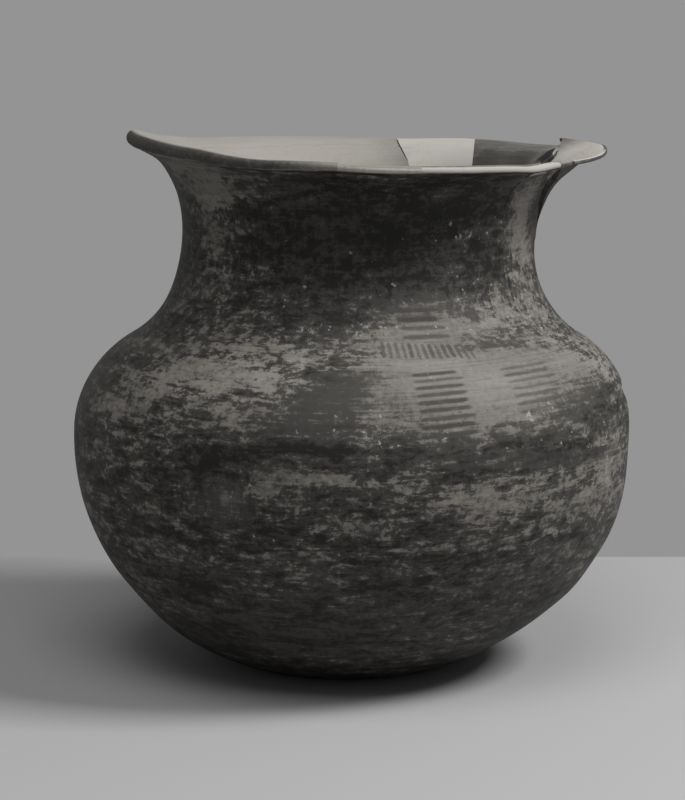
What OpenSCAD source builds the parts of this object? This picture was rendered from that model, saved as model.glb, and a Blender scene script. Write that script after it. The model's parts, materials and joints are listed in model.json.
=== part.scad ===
// A hand-built painted jar with a round belly, a short neck and a wide flared rim.
// It was broken and mended: the rim is made up of sherds and plaster fills.
// The wall's outline is a chain of arcs that run into each other without a kink.
// +Z is up, -Y is the painted front, and the origin is under the belly's centre.

/* [Body] */
// Diameter of the belly, over the outside
belly_d = 300; // [280:1:320]
// Radius of the arc that shapes the bowl, from the base to the belly
bowl_arc_r = 133; // [125:1:140]
// Turn of the bowl's arc below the belly, in degrees
bowl_turn = 74; // [70:1:76]
// Radius of the arc that shapes the shoulder, above the belly
shoulder_arc_r = 56; // [52:1:60]
// Turn of the shoulder's arc, in degrees
shoulder_turn = 60; // [56:1:63]
// Thickness of the wall
wall_t = 6; // [5:0.5:7.5]
// Thickness of the floor
floor_t = 9; // [7:0.5:12]
// Sideways lean of the jar, as a share of the height above the belly
lean_share = 0.033; // [0:0.001:0.05]

/* [Neck] */
// Radius of the hollow arc from the shoulder up to the narrowest ring of the neck
nape_arc_r = 57; // [53:1:60]
// Radius of the hollow arc above the narrowest ring
throat_arc_r = 85; // [78:1:92]
// Outward turn of the throat's arc, in degrees
throat_turn = 17; // [15:1:19]

/* [Rim] */
// Radius of the arc that flares the rim
flare_arc_r = 29.5; // [28:0.5:31]
// Outward turn at the end of the flare, in degrees
flare_turn = 86; // [84:1:88]
// Thickness of the lip
lip_t = 3.8; // [3.2:0.1:4.6]
// Thickness of the heavy bead on the left of the rim
bead_t = 8; // [6:0.5:9]
// How far the lip rises under the bead
bead_lift = 7; // [4:0.5:8]
// How far the lip draws in under the bead
bead_draw = 2; // [0:0.5:3]
// How far the lip dips at the front, right of the middle
front_dip = 1.6; // [0:0.1:2.4]
// Radius of the flare on the right sherd
sherd_arc_r = 26.5; // [25:0.5:28]
// Outward turn of the right sherd, in degrees
sherd_turn = 58; // [55:1:61]
// Length of the nearly straight lip on the right sherd
sherd_lip_l = 20; // [17:1:21]
// Radius of the arc that this lip follows
sherd_lip_arc_r = 110; // [100:5:120]
// How far the right sherd is set outward of its neighbours
sherd_set = 2; // [0:0.1:2.4]
// Tilt of the right sherd, down toward the front, in degrees
sherd_tilt = 2; // [0:0.5:3]

/* [Mends] */
// Gap that the glue fills between two broken faces
glue_gap = 0.3; // [0.2:0.05:0.4]
// How far the right sherd reaches to the front, as a share of the rim's radius
sherd_front_share = 0.585; // [0.56:0.005:0.605]
// How far the right sherd reaches to the back, as a share of the rim's radius
sherd_back_share = 0.51; // [0.49:0.005:0.53]
// Depth of the right sherd, down from the end of the flare
sherd_drop = 44; // [38:1:45]
// Width of the plaster panel at the back, as a share of the rim's radius
panel_width_share = 0.377; // [0.325:0.004:0.405]
// Distance of the panel's right edge from the jar's middle, as a share of the rim's radius
panel_edge_share = 0.531; // [0.503:0.004:0.551]
// Depth of the panel, down from the end of the flare
panel_drop = 24; // [18:1:28]
// Diameter of the round plug in the bowl
plug_d = 20; // [16:1:24]
// Height of the plug's centre
plug_z = 112; // [104:1:118]
// Direction of the plug, in degrees from +X
plug_at = 245; // [238:1:252]
// Depth of the flake that is lost from the right shoulder
flake_t = 2.4; // [1.5:0.1:3]
// Radius of the flake's hollow
flake_arc_r = 48; // [40:1:60]

/* [Hidden] */
$fn = 180;

// Colours
slip_dark = "#3b3733";
slip_brown = "#5b534b";
clay_light = "#b9b2a6";
plaster_white = "#dcd8cf";
plaster_toned = "#77716a";

// Overrun of every cut past the face that it leaves
overrun = 4;
// Where one arc of the outline runs on into the next, it overlaps it by this turn, in degrees
seam_turn = 1;

// Key places of the outline, as [radius, height]
belly_r = belly_d / 2;
belly_z = bowl_arc_r * sin(bowl_turn);
bowl_c = [belly_r - bowl_arc_r, belly_z];
shoulder_c = [belly_r - shoulder_arc_r, belly_z];
nape_c = shoulder_c + polar(shoulder_arc_r + nape_arc_r, shoulder_turn);
neck_r = nape_c.x - nape_arc_r;
neck_z = nape_c.y;
throat_c = [neck_r + throat_arc_r, neck_z];
throat_end = throat_c + inward(throat_arc_r, throat_turn);
flare_c = throat_end - inward(flare_arc_r, throat_turn);
flare_end = flare_c + inward(flare_arc_r, flare_turn);
rim_z = flare_end.y;
rim_r = flare_end.x;
sherd_front_w = sherd_front_share * rim_r;
sherd_back_w = sherd_back_share * rim_r;
panel_w = panel_width_share * rim_r;
panel_edge = panel_edge_share * rim_r;
// A radius that clears the whole jar, and a height above it
clear_r = belly_r + overrun;
clear_z = rim_z + bead_t + bead_lift + overrun;

// The flare's inner face thins toward the lip, so its arc is off centre by this much
function thinning(last_turn) = (wall_t - lip_t) / sin(last_turn - throat_turn);
function inner_centre(c, last_turn) =
  c - thinning(last_turn) * [sin(throat_turn), cos(throat_turn)];
inner_arc_r = flare_arc_r + wall_t;
inner_c = inner_centre(flare_c, flare_turn);
inner_last = flare_c + inward(flare_arc_r + lip_t, flare_turn) - inner_c;

// The break between the neck and the rim, as corners around the jar
break_step = 12;
break_jag = 1.3;
break_waves = 5;
side_break_share = 0.52;
front_break_share = 0.84;
front_break_from = 264;
front_break_to = 324;
left_break_share = 0.1;
left_break_from = 156;
left_break_to = 252;

// Where each piece of the rim begins and ends, in degrees around the jar
left_fill_from = 144;
front_sherd_from = 264;
front_fill_from = 283;
front_right_fill_from = 293;
back_right_sherd_to = 64;
back_left_sherd_from = 74;
front_right_fill_to = 360 - asin((sherd_front_w + glue_gap) / break_r(front_break_to));
// The right sherd is turned from here to there, and its outline trims it
sherd_from = -46;
sherd_to = 36;
// The sherd behind it starts where its slanted side has risen past the break, at this share of its reach
back_right_start_share = 0.63;
back_right_start_corner = 24;
back_right_sherd_from = asin(back_right_start_share * sherd_back_w / break_r(back_right_start_corner));
// The plaster panel is trimmed from this stretch of the rim, and the plug from this much of the bowl
panel_from = 50;
panel_sweep = 40;
plug_sweep = 40;
// Height at which the sides of the right sherd turn inward, over the end of the flare
sherd_front_corner = -2;
sherd_back_corner = 3.5;
// The sections of the lofted rim: steps around the jar, and faces along the flare and the lip
loft_step = 4;
flare_faces = 5;
lip_faces = 5;

// How the rim changes around the jar
bead_at = 190;
bead_spread = 78;
dip_at = 303;
dip_spread = 55;

function mix(a, b, t) = a + (b - a) * t;
function polar(r, a) = r * [cos(a), sin(a)];
function cross2(p, q) = p.x * q.y - p.y * q.x;

// From the centre of a hollow arc to its wall; turn is the wall's tilt from upright
function inward(r, turn) = r * [-cos(turn), sin(turn)];

// A smooth hump: 1 at one angle, and 0 from spread degrees away on either side
function away(a, at) = abs((a - at + 540) % 360 - 180);
function hump(a, at, spread) =
  away(a, at) >= spread ? 0 : (1 + cos(180 * away(a, at) / spread)) / 2;
function bead_extra(a) = (bead_t - lip_t) * hump(a, bead_at, bead_spread);
// How far the end of the lip is moved, as [outward, up]
function lip_move(a) =
  hump(a, bead_at, bead_spread) * [-bead_draw, bead_lift] - hump(a, dip_at, dip_spread) * [0, front_dip];

// Radius of the break at one of its corners, and on the straight line between two corners
function break_share(a) =
  a >= front_break_from && a <= front_break_to ? front_break_share
  : a >= left_break_from && a <= left_break_to ? left_break_share
  : side_break_share;
function break_r(a) = mix(throat_end.x, rim_r, break_share(a)) + break_jag * sin(break_waves * a);
function break_r_at(a) =
  let (
    from = floor(a / break_step) * break_step,
    p = polar(break_r(from), from),
    q = polar(break_r(from + break_step), from + break_step)
  )
  cross2(p, q) / cross2(polar(1, a), q - p);

// One section of the rim: out along its underside, round the lip and back over its top
function rim_section(a) =
  let (
    r = break_r_at(a),
    under_from = acos((flare_c.x - r) / flare_arc_r),
    over_from = acos((inner_c.x - r) / inner_arc_r),
    over_to = atan2(inner_last.y, -inner_last.x),
    shares = [for (i = [0:flare_faces]) i / flare_faces],
    under = [for (s = shares)
      flare_c + inward(flare_arc_r, mix(under_from, flare_turn, s)) + lip_move(a) * s],
    over = [for (s = shares)
      inner_c + inward(inner_arc_r + bead_extra(a) * s * s, mix(over_from, over_to, s))
      + lip_move(a) * s],
    middle = (under[flare_faces] + over[flare_faces]) / 2,
    half = (under[flare_faces] - over[flare_faces]) / 2,
    ahead = [-half.y, half.x],
    lip = [for (i = [1:lip_faces - 1]) let (t = 180 * i / lip_faces)
      middle + half * cos(t) + ahead * sin(t)]
  )
  concat(under, lip, [for (i = [flare_faces:-1:0]) over[i]]);

// Leans the whole jar to the right, ring by ring, with every ring still level
module lean() {
  multmatrix([
    [1, 0, lean_share, -lean_share * belly_z],
    [0, 1, 0, 0],
    [0, 0, 1, 0],
    [0, 0, 0, 1]
  ]) children();
}

// A flat wedge about a centre, between two angles, that reaches past an arc of radius r
module wedge(c, r, from, to) {
  reach = r + overrun;
  middle = polar(reach / cos((to - from) / 2), (from + to) / 2);
  translate(c) polygon([[0, 0], polar(reach, from), middle, polar(reach, to)]);
}

// A stretch of wall in outline: what lies between two arcs, within a wedge
module wall_arc(outer_c, outer_r, inner_c, inner_r, from, to) {
  big_c = outer_r > inner_r ? outer_c : inner_c;
  small_c = outer_r > inner_r ? inner_c : outer_c;
  intersection() {
    difference() {
      translate(big_c) circle(r = max(outer_r, inner_r));
      translate(small_c) circle(r = min(outer_r, inner_r));
    }
    wedge(outer_c, max(outer_r, inner_r), from, to);
  }
}

// The bowl and the shoulder in outline, with the floor; the base runs on below the ground
module bowl_outline() {
  wall_arc(bowl_c, bowl_arc_r, bowl_c, bowl_arc_r - wall_t, -bowl_turn, 0);
  wall_arc(shoulder_c, shoulder_arc_r, shoulder_c, shoulder_arc_r - wall_t, 0, shoulder_turn + seam_turn);
  intersection() {
    translate([0, -overrun]) square([belly_r, overrun + floor_t]);
    translate(bowl_c) circle(r = bowl_arc_r);
  }
}

// The neck in outline, from the shoulder to the start of the flare
module nape_outline() {
  wall_arc(nape_c, nape_arc_r, nape_c, nape_arc_r + wall_t, 180, 180 + shoulder_turn);
}

module throat_outline() {
  wall_arc(throat_c, throat_arc_r, throat_c, throat_arc_r + wall_t, 180 - throat_turn - seam_turn, 180);
}

// The flare in outline, for an arc of radius r that ends at last_turn
module flare_outline(r, last_turn) {
  c = throat_end - inward(r, throat_turn);
  wall_arc(c, r, inner_centre(c, last_turn), r + wall_t, 180 - last_turn, 180 - throat_turn);
}

// The round end of the lip in outline, where an arc about c ends
module lip_round(c, r, last_turn) {
  translate(c + inward(r + lip_t / 2, last_turn)) circle(d = lip_t);
}

// The right sherd in outline: its flare, the long lip past it, and the lip's round end
module sherd_outline() {
  c = throat_end - inward(sherd_arc_r, throat_turn);
  lip_c = c - inward(sherd_lip_arc_r - sherd_arc_r, sherd_turn);
  lip_turn = sherd_turn + atan(sherd_lip_l / sherd_lip_arc_r);
  seam = seam_turn * sherd_arc_r / sherd_lip_arc_r;
  flare_outline(sherd_arc_r, sherd_turn);
  wall_arc(
    lip_c, sherd_lip_arc_r, lip_c, sherd_lip_arc_r + lip_t, 180 - lip_turn, 180 - sherd_turn + seam
  );
  lip_round(lip_c, sherd_lip_arc_r, lip_turn);
}

// The outline of the right sherd, seen from the side as [across, up]; grow widens it for its socket
module sherd_prism(grow) {
  front_shares = [[-0.8, 0.05], [-0.54, 0.19], [-0.39, 0.47], [-0.26, 0.7], [-0.13, 0.88]];
  back_shares = [[0.025, 1], [0.26, 0.82], [0.4, 0.46], [0.5, 0.12]];
  front = -sherd_front_w - grow;
  back = sherd_back_w + grow;
  rotate([90, 0, 90])
    linear_extrude(clear_r)
      polygon(concat(
        [[front, clear_z], [front, rim_z + sherd_front_corner]],
        [for (s = front_shares) [s.x * sherd_front_w - grow, rim_z - s.y * sherd_drop - grow]],
        [for (s = back_shares) [s.x * sherd_back_w + grow, rim_z - s.y * sherd_drop - grow]],
        [[back, rim_z + sherd_back_corner], [back, clear_z]]
      ));
}

// The outline of the plaster panel, seen from the front; its left edge slants
module panel_prism(grow) {
  left_shares = [[-1, -0.15], [-0.94, 0.1], [-0.82, 0.42], [-0.68, 0.8], [-0.45, 1]];
  right_shares = [[-0.16, 0.92], [0, 0.55]];
  left = panel_edge - grow;
  right = panel_edge + grow;
  rotate([90, 0, 180])
    linear_extrude(clear_r)
      mirror([1, 0])
        polygon(concat(
          [[right, clear_z], [left - panel_w, clear_z]],
          [for (s = left_shares) [left + s.x * panel_w, rim_z - s.y * panel_drop - grow]],
          [for (s = right_shares) [right + s.x * panel_w, rim_z - s.y * panel_drop - grow]]
        ));
}

// The right sherd was glued in a little askew, and its socket follows it
module sherd_pose() {
  translate([0, 0, rim_z]) rotate([sherd_tilt, 0, 0]) translate([0, 0, -rim_z]) children();
}

// What lies outside the break, from the throat up
module outside_break() {
  translate([0, 0, throat_end.y])
    difference() {
      cylinder(r = clear_r, h = clear_z - throat_end.y);
      translate([0, 0, -overrun])
        linear_extrude(clear_z)
          polygon([for (a = [0:break_step:359]) polar(break_r(a) - glue_gap, a)]);
    }
}

// The hole for the plug, and the plug's own cylinder, through the wall of the bowl
module plug_cylinder(d) {
  translate([0, 0, plug_z]) rotate([0, 90, plug_at]) cylinder(d = d, h = clear_r);
}

// The hollow that a lost flake left on the right shoulder
module flake() {
  out = shoulder_c + polar(shoulder_arc_r + flake_arc_r - flake_t, shoulder_turn / 2);
  translate([out.x, 0, out.y]) sphere(r = flake_arc_r);
}

module vessel_body() {
  color(slip_brown) difference() {
    union() for (quarter = [0:3]) lean() difference() {
      rotate_extrude(start = 90 * quarter, angle = 90) {
        bowl_outline();
        nape_outline();
        throat_outline();
        flare_outline(flare_arc_r, flare_turn);
      }
      outside_break();
      sherd_pose() sherd_prism(glue_gap);
      panel_prism(glue_gap);
      flake();
    }
    plug_cylinder(plug_d);
    translate([-clear_r, -clear_r, -2 * overrun]) cube([2 * clear_r, 2 * clear_r, 2 * overrun]);
  }
}

// A solid lofted through sections of equal length, set at the given angles around the jar
module loft(angles, sections) {
  n = len(sections[0]);
  last = len(angles) - 1;
  points = [for (i = [0:last], p = sections[i]) [p.x * cos(angles[i]), p.x * sin(angles[i]), p.y]];
  sides = [for (i = [0:last - 1], j = [0:n - 1], half = [0, 1])
    let (k = (j + 1) % n, a = i * n, b = (i + 1) * n)
    half == 0 ? [a + j, a + k, b + k] : [a + j, b + k, b + j]];
  caps = [[for (j = [n - 1:-1:0]) j], [for (j = [0:n - 1]) last * n + j]];
  polyhedron(points, concat(sides, caps), convexity = 6);
}

// A stretch of the rim between two angles, less half a glue gap at each end
module rim_stretch(from, to) {
  half_gap = asin(glue_gap / 2 / neck_r);
  first = from + half_gap;
  last = to - half_gap;
  angles = concat(
    [first],
    [for (a = [ceil(first / loft_step) * loft_step:loft_step:last]) if (a > first && a < last) a],
    [last]
  );
  loft(angles, [for (a = angles) rim_section(a)]);
}

// The heavy toned fill with a rolled bead, on the left
module rim_left_fill() {
  color(plaster_toned) lean() rim_stretch(left_fill_from, front_sherd_from);
}

module rim_front_sherd() {
  color(slip_dark) lean() rim_stretch(front_sherd_from, front_fill_from);
}

module rim_front_fill() {
  color(plaster_white) lean() rim_stretch(front_fill_from, front_right_fill_from);
}

module rim_front_right_fill() {
  color(plaster_white) lean() rim_stretch(front_right_fill_from, front_right_fill_to);
}

// The sherd on the right: its straight lip runs out past the rest of the rim
module rim_right_sherd() {
  color(slip_dark)
    lean() sherd_pose() intersection() {
      translate([sherd_set, 0, 0])
        rotate_extrude(start = sherd_from, angle = sherd_to - sherd_from) {
          throat_outline();
          sherd_outline();
        }
      sherd_prism(0);
    }
}

module rim_back_right_sherd() {
  color(slip_brown) lean() difference() {
    rim_stretch(back_right_sherd_from, back_right_sherd_to);
    sherd_pose() sherd_prism(glue_gap);
    panel_prism(glue_gap);
  }
}

// The white plaster panel at the back, which reaches down the inside of the neck
module rim_back_fill() {
  color(plaster_white) lean() intersection() {
    rotate_extrude(start = panel_from, angle = panel_sweep) {
      throat_outline();
      flare_outline(flare_arc_r, flare_turn);
      lip_round(flare_c, flare_arc_r, flare_turn);
    }
    panel_prism(0);
  }
}

module rim_back_left_sherd() {
  color(clay_light) lean() difference() {
    rim_stretch(back_left_sherd_from, left_fill_from);
    panel_prism(glue_gap);
  }
}

// The round fill in the lower left of the bowl, as thick as the wall
module wall_plug() {
  color(plaster_toned) intersection() {
    lean() rotate_extrude(start = plug_at - plug_sweep / 2, angle = plug_sweep)
      wall_arc(bowl_c, bowl_arc_r, bowl_c, bowl_arc_r - wall_t, -bowl_turn, 0);
    plug_cylinder(plug_d - 2 * glue_gap);
  }
}

vessel_body();
rim_left_fill();
rim_front_sherd();
rim_front_fill();
rim_front_right_fill();
rim_right_sherd();
rim_back_right_sherd();
rim_back_fill();
rim_back_left_sherd();
wall_plug();
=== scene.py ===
"""The painted pottery jar: its body, the mended rim, their worn slip and plaster, the light and the camera.

Lengths are in metres and angles in radians, unless a name says otherwise. +Z is up, and -Y is the
painted front. A place on the wall is an angle around the jar, counted from +X, and a distance along the
wall from the middle of the base. Places on the painted front are given as the picture shows them, in
pixels, and View turns them into places on the wall.
"""

from __future__ import annotations

import json
import logging
import math
from dataclasses import dataclass, field, replace
from enum import Enum
from functools import lru_cache, reduce
from typing import Callable, Sequence

import bpy
import numpy as np
from mathutils import Matrix, Vector

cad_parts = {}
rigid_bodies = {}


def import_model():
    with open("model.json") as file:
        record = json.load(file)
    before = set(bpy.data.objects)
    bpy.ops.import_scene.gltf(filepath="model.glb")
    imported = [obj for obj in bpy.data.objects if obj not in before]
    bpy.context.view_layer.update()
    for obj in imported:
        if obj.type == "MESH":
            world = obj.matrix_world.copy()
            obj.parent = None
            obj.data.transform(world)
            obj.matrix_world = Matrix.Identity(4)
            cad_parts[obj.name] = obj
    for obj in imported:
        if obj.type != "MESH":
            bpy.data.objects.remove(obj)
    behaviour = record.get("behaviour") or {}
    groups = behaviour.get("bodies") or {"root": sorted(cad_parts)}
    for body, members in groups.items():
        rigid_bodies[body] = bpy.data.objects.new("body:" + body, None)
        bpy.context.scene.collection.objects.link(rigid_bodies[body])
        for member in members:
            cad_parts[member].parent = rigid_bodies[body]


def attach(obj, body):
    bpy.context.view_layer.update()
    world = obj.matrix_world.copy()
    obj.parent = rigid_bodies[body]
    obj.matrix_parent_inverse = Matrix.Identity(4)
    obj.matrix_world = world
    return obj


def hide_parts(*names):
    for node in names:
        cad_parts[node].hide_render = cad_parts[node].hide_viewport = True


LOG = logging.getLogger("jar")
MM = 0.001
TURN = 2 * math.pi
FRONT = math.radians(270)
PICTURE = (685, 800)
DRUM_R = 0.1  # the radius of the drum on which the wall's patterns are laid out
SHARP_TURN = math.radians(50)  # faces that meet at more than this meet at a sharp edge

Array = np.ndarray
Colour = tuple[float, float, float]


def into_scene(name: str, data: bpy.types.ID) -> bpy.types.Object:
    """Makes an object and puts it into the scene.

    Args:
        name: The object's name.
        data: Its mesh, lamp or camera.

    Returns:
        The object.
    """
    made = bpy.data.objects.new(name, data)
    bpy.context.scene.collection.objects.link(made)
    return made


def plain_mesh(thing: bpy.types.Object) -> bpy.types.Mesh:
    """Works out an object's modifiers.

    Args:
        thing: The object.

    Returns:
        The result, as a mesh with all its attributes.
    """
    graph = bpy.context.evaluated_depsgraph_get()
    return bpy.data.meshes.new_from_object(
        thing.evaluated_get(graph), preserve_all_data_layers=True, depsgraph=graph
    )


# The jar's outline


@dataclass(frozen=True)
class Arc:
    """One arc of the outline.

    Attributes:
        radius: Its radius.
        turn: The angle that it turns through.
        bend: Which way it turns as the wall goes up: in toward the jar's middle (1), or outward (-1).
    """

    radius: float
    turn: float
    bend: int

    @property
    def length(self) -> float:
        """How long the arc is."""
        return self.radius * self.turn


# The places of these arcs in the chain
BOWL, SHOULDER, THROAT, FLARE = 1, 2, 4, 5


@dataclass(frozen=True)
class Outline:
    """The wall's outer outline as a chain of arcs, from the middle of the base to the lip.

    Attributes:
        belly_r: Radius of the jar at its widest.
        bowl_r: Radius of the arc from the worn edge of the base to the widest place.
        edge_r: Radius of that worn edge.
        shoulder_r: Radius of the shoulder's arc.
        shoulder_turn: How far the shoulder turns in.
        nape_r: Radius of the hollow above it, which turns back as far.
        throat_r: Radius of the neck's arc.
        throat_turn: How far the neck turns outward.
        flare_r: Radius of the flare.
        flare_turn: How far the neck and the flare turn outward together.
        lip_arc_r: Radius of the last, nearly straight arc, if there is one.
        lip_length: Its length.
        belly_z: Height of the widest place.
        wall: Thickness of the wall.
        floor: Thickness at the middle of the base.
        lip: Thickness at the lip.
        lean: How far the jar leans toward +X, as a share of the height above its widest place.
    """

    belly_r: float = 150 * MM
    bowl_r: float = 133 * MM
    edge_r: float = 25 * MM
    shoulder_r: float = 56 * MM
    shoulder_turn: float = math.radians(60)
    nape_r: float = 57 * MM
    throat_r: float = 85 * MM
    throat_turn: float = math.radians(17)
    flare_r: float = 29.5 * MM
    flare_turn: float = math.radians(86)
    lip_arc_r: float = 300 * MM
    lip_length: float = 0.0
    belly_z: float = 127.85 * MM
    wall: float = 6 * MM
    floor: float = 9 * MM
    lip: float = 3.8 * MM
    lean: float = 0.033

    @property
    def flat_r(self) -> float:
        """Radius of the flat under the base, up to the worn edge that runs into the bowl."""
        reach = self.bowl_r - self.edge_r
        return self.belly_r - self.bowl_r + math.sqrt(reach**2 - (self.belly_z - self.edge_r) ** 2)

    def arcs(self) -> list[Arc]:
        """Chains the arcs.

        Returns:
            The arcs in order, from the edge of the flat to the lip.
        """
        rise = math.asin((self.belly_z - self.edge_r) / (self.bowl_r - self.edge_r))
        chain = [
            Arc(self.edge_r, math.pi / 2 - rise, 1),
            Arc(self.bowl_r, rise, 1),
            Arc(self.shoulder_r, self.shoulder_turn, 1),
            Arc(self.nape_r, self.shoulder_turn, -1),
            Arc(self.throat_r, self.throat_turn, -1),
            Arc(self.flare_r, self.flare_turn - self.throat_turn, -1),
        ]
        if self.lip_length:
            chain.append(Arc(self.lip_arc_r, self.lip_length / self.lip_arc_r, -1))
        return chain

    def reach(self, last: int) -> float:
        """Distance along the wall to the end of an arc, given by its place in the chain."""
        return self.flat_r + sum(arc.length for arc in self.arcs()[: last + 1])

    @property
    def flare_from(self) -> float:
        """Distance along the wall to the start of the flare."""
        return self.reach(THROAT)

    @property
    def lip_at(self) -> float:
        """Distance along the wall to the lip."""
        return self.reach(len(self.arcs()) - 1)

    def at_height(self, z: float) -> float:
        """Distance along the wall to a height."""
        s_all, _, z_all = self.table(self.flat_r, self.lip_at, count=2000)
        return float(np.interp(z, z_all, s_all))

    def table(self, first: float, last: float, count: int) -> tuple[Array, Array, Array]:
        """Even distances between two along the wall, with the radius and the height at each."""
        s = np.linspace(first, last, count)
        return s, *self.at(s)

    def at(self, s: Array) -> tuple[Array, Array]:
        """Follows the outline.

        Args:
            s: Distances along the wall.

        Returns:
            The radius and the height at each.
        """
        r = np.clip(s, 0, self.flat_r)
        z = np.zeros_like(r)
        way, start = 0.0, self.flat_r
        for arc in self.arcs():
            along = np.clip(s - start, 0, arc.length)
            here = way + arc.bend * along / arc.radius
            r = r + arc.bend * arc.radius * (np.sin(here) - math.sin(way))
            z = z + arc.bend * arc.radius * (math.cos(way) - np.cos(here))
            way += arc.bend * arc.turn
            start += arc.length
        past = np.maximum(s - start, 0)
        return r + past * math.cos(way), z + past * math.sin(way)


JAR = Outline()
SHERD = replace(
    JAR, flare_r=26.5 * MM, flare_turn=math.radians(58), lip_arc_r=110 * MM, lip_length=20 * MM,
    lip=2.3 * MM,
)
# Radius and height of the even rim
RIM_R, RIM_Z = (float(v[0]) for v in JAR.at(np.array([JAR.lip_at])))
SHERD_TILT = math.radians(2)  # how far the right sherd is tilted, about X
SHERD_SET = 2 * MM  # how far it stands out along +X


def curve_through(knots: Sequence[tuple[float, float]], x: Array, period: float | None = None) -> Array:
    """A smooth curve through a few points.

    Args:
        knots: The points, in order of their first number.
        x: Where the curve is wanted.
        period: The length after which the curve repeats, if it does.

    Returns:
        The curve's height at each x.
    """
    px, py = (np.array(v, float) for v in zip(*knots))
    if period:
        px = np.concatenate([px[-2:] - period, px, px[:2] + period])
        py = np.concatenate([py[-2:], py, py[:2]])
        x = (x - px[2]) % period + px[2]
    slope = np.gradient(py, px)
    i = np.clip(np.searchsorted(px, x) - 1, 0, len(px) - 2)
    step = px[i + 1] - px[i]
    t = np.clip((x - px[i]) / step, 0, 1)
    hold, pull = t * t * (3 - 2 * t), t * (1 - t)
    return (
        py[i] * (1 - hold) + py[i + 1] * hold
        + pull * step * ((1 - t) * slope[i] - t * slope[i + 1])
    )


@dataclass(frozen=True)
class Break:
    """The jagged line where the rim broke off. Angles are in degrees from +X.

    Attributes:
        side_share: Where it runs on the right and at the back, as a share of the flare's width.
        front_share: Where it runs at the front.
        front: Where the front begins and ends.
        left_share: Where it runs at the left.
        left: Where the left begins and ends.
        step: The angle from one corner to the next.
        jag: How far the corners stand in and out.
        waves: How often they do so around the jar.
        ragged: How far its fine edge stands in and out.
        ragged_waves: How often it does so around the jar, and how far each wave is turned.
        gap: The width of the glue line under the pieces of the rim.
    """

    side_share: float = 0.52
    front_share: float = 0.84
    front: tuple[float, float] = (264, 324)
    left_share: float = 0.1
    left: tuple[float, float] = (156, 252)
    step: float = 12
    jag: float = 1.3 * MM
    waves: int = 5
    ragged: float = 0.25 * MM
    ragged_waves: tuple[tuple[int, int], ...] = ((37, 0), (61, 2), (113, 5))
    gap: float = 0.1 * MM

    def corner(self, degrees: Array) -> Array:
        """Finds the break's corners.

        Args:
            degrees: The corners' angles.

        Returns:
            Their radii.
        """
        inner, outer = JAR.at(np.array([JAR.flare_from, JAR.lip_at]))[0]
        share = np.full(np.shape(degrees), self.side_share)
        for (first, last), there in ((self.front, self.front_share), (self.left, self.left_share)):
            share = np.where((degrees % 360 >= first) & (degrees % 360 <= last), there, share)
        return inner + (outer - inner) * share + self.jag * np.sin(np.radians(self.waves * degrees))

    def radius(self, around: Array) -> Array:
        """Follows the straight lines between the corners.

        Args:
            around: Angles around the jar, in radians.

        Returns:
            The radius of the break at each.
        """
        degrees = np.degrees(around) % 360
        first = np.floor(degrees / self.step) * self.step
        p, q = self.corner(first), self.corner(first + self.step)
        a, b = np.radians(first), np.radians(first + self.step)
        px, py, qx, qy = p * np.cos(a), p * np.sin(a), q * np.cos(b), q * np.sin(b)
        dx, dy = np.cos(np.radians(degrees)), np.sin(np.radians(degrees))
        return (px * qy - py * qx) / (dx * (qy - py) - dy * (qx - px))

    def along(self, around: Array, _: Array | None = None) -> Array:
        """Finds the break on the wall, with its fine ragged edge.

        Args:
            around: Angles around the jar, in radians.
            _: Distances along the wall, which the floor of a notch needs and the break does not.

        Returns:
            The distance along the wall to the break at each.
        """
        centre = RIM_R + JAR.flare_r * math.cos(JAR.flare_turn)
        turn = np.arccos(np.clip((centre - self.radius(around)) / JAR.flare_r, -1, 1))
        ragged = self.ragged * sum(np.sin(count * around + shift) for count, shift in self.ragged_waves)
        return JAR.flare_from + JAR.flare_r * (turn - JAR.throat_turn) + ragged


BREAK = Break()


@dataclass(frozen=True)
class Notch:
    """An outline of straight lines, seen along one axis, that a mend cuts out of the wall.

    Attributes:
        corners: Its corners, as the place across and the depth below the end of the flare.
        axis: 0 where it is measured across along X, and 1 along Y.
    """

    corners: tuple[tuple[float, float], ...]
    axis: int

    def depth(self, across: Array) -> Array:
        """How deep it is at each place across."""
        return np.interp(across, *zip(*self.corners))

    def inside(self, across: Array, z: Array, grow: float) -> Array:
        """Finds what lies in the notch.

        Args:
            across: Places across.
            z: Their heights.
            grow: How far the notch is grown on all sides.

        Returns:
            Whether each place lies in it.
        """
        x, down = (np.array(v) for v in zip(*self.corners))
        x[0] -= grow
        x[-1] += grow
        return z > np.interp(across, x, RIM_Z - down - grow, left=1.0, right=1.0)


# How far the right sherd reaches to the front and to the back, and down the neck
SHERD_FRONT, SHERD_BACK, SHERD_DROP = 0.585 * RIM_R, 0.51 * RIM_R, 44 * MM
# Where the white panel's right edge is, how wide it is, and how far it reaches down
PANEL_EDGE, PANEL_WIDTH, PANEL_DROP = 0.531 * RIM_R, 0.377 * RIM_R, 24 * MM
SHERD_NOTCH = Notch(
    tuple((x * SHERD_FRONT, y * SHERD_DROP) for x, y in (
        (-1, 0.045), (-0.8, 0.05), (-0.54, 0.19), (-0.39, 0.47), (-0.26, 0.7), (-0.13, 0.88),
    )) + tuple((x * SHERD_BACK, y * SHERD_DROP) for x, y in (
        (0.025, 1), (0.26, 0.82), (0.4, 0.46), (0.5, 0.12), (1, -0.08),
    )), axis=1,
)
PANEL_NOTCH = Notch(
    tuple((PANEL_EDGE + x * PANEL_WIDTH, y * PANEL_DROP) for x, y in (
        (-1, -0.15), (-0.94, 0.1), (-0.82, 0.42), (-0.68, 0.8), (-0.45, 1), (-0.16, 0.92), (0, 0.55),
    )), axis=0,
)


# How the rim changes around the jar: degrees from +X, and millimetres

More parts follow.
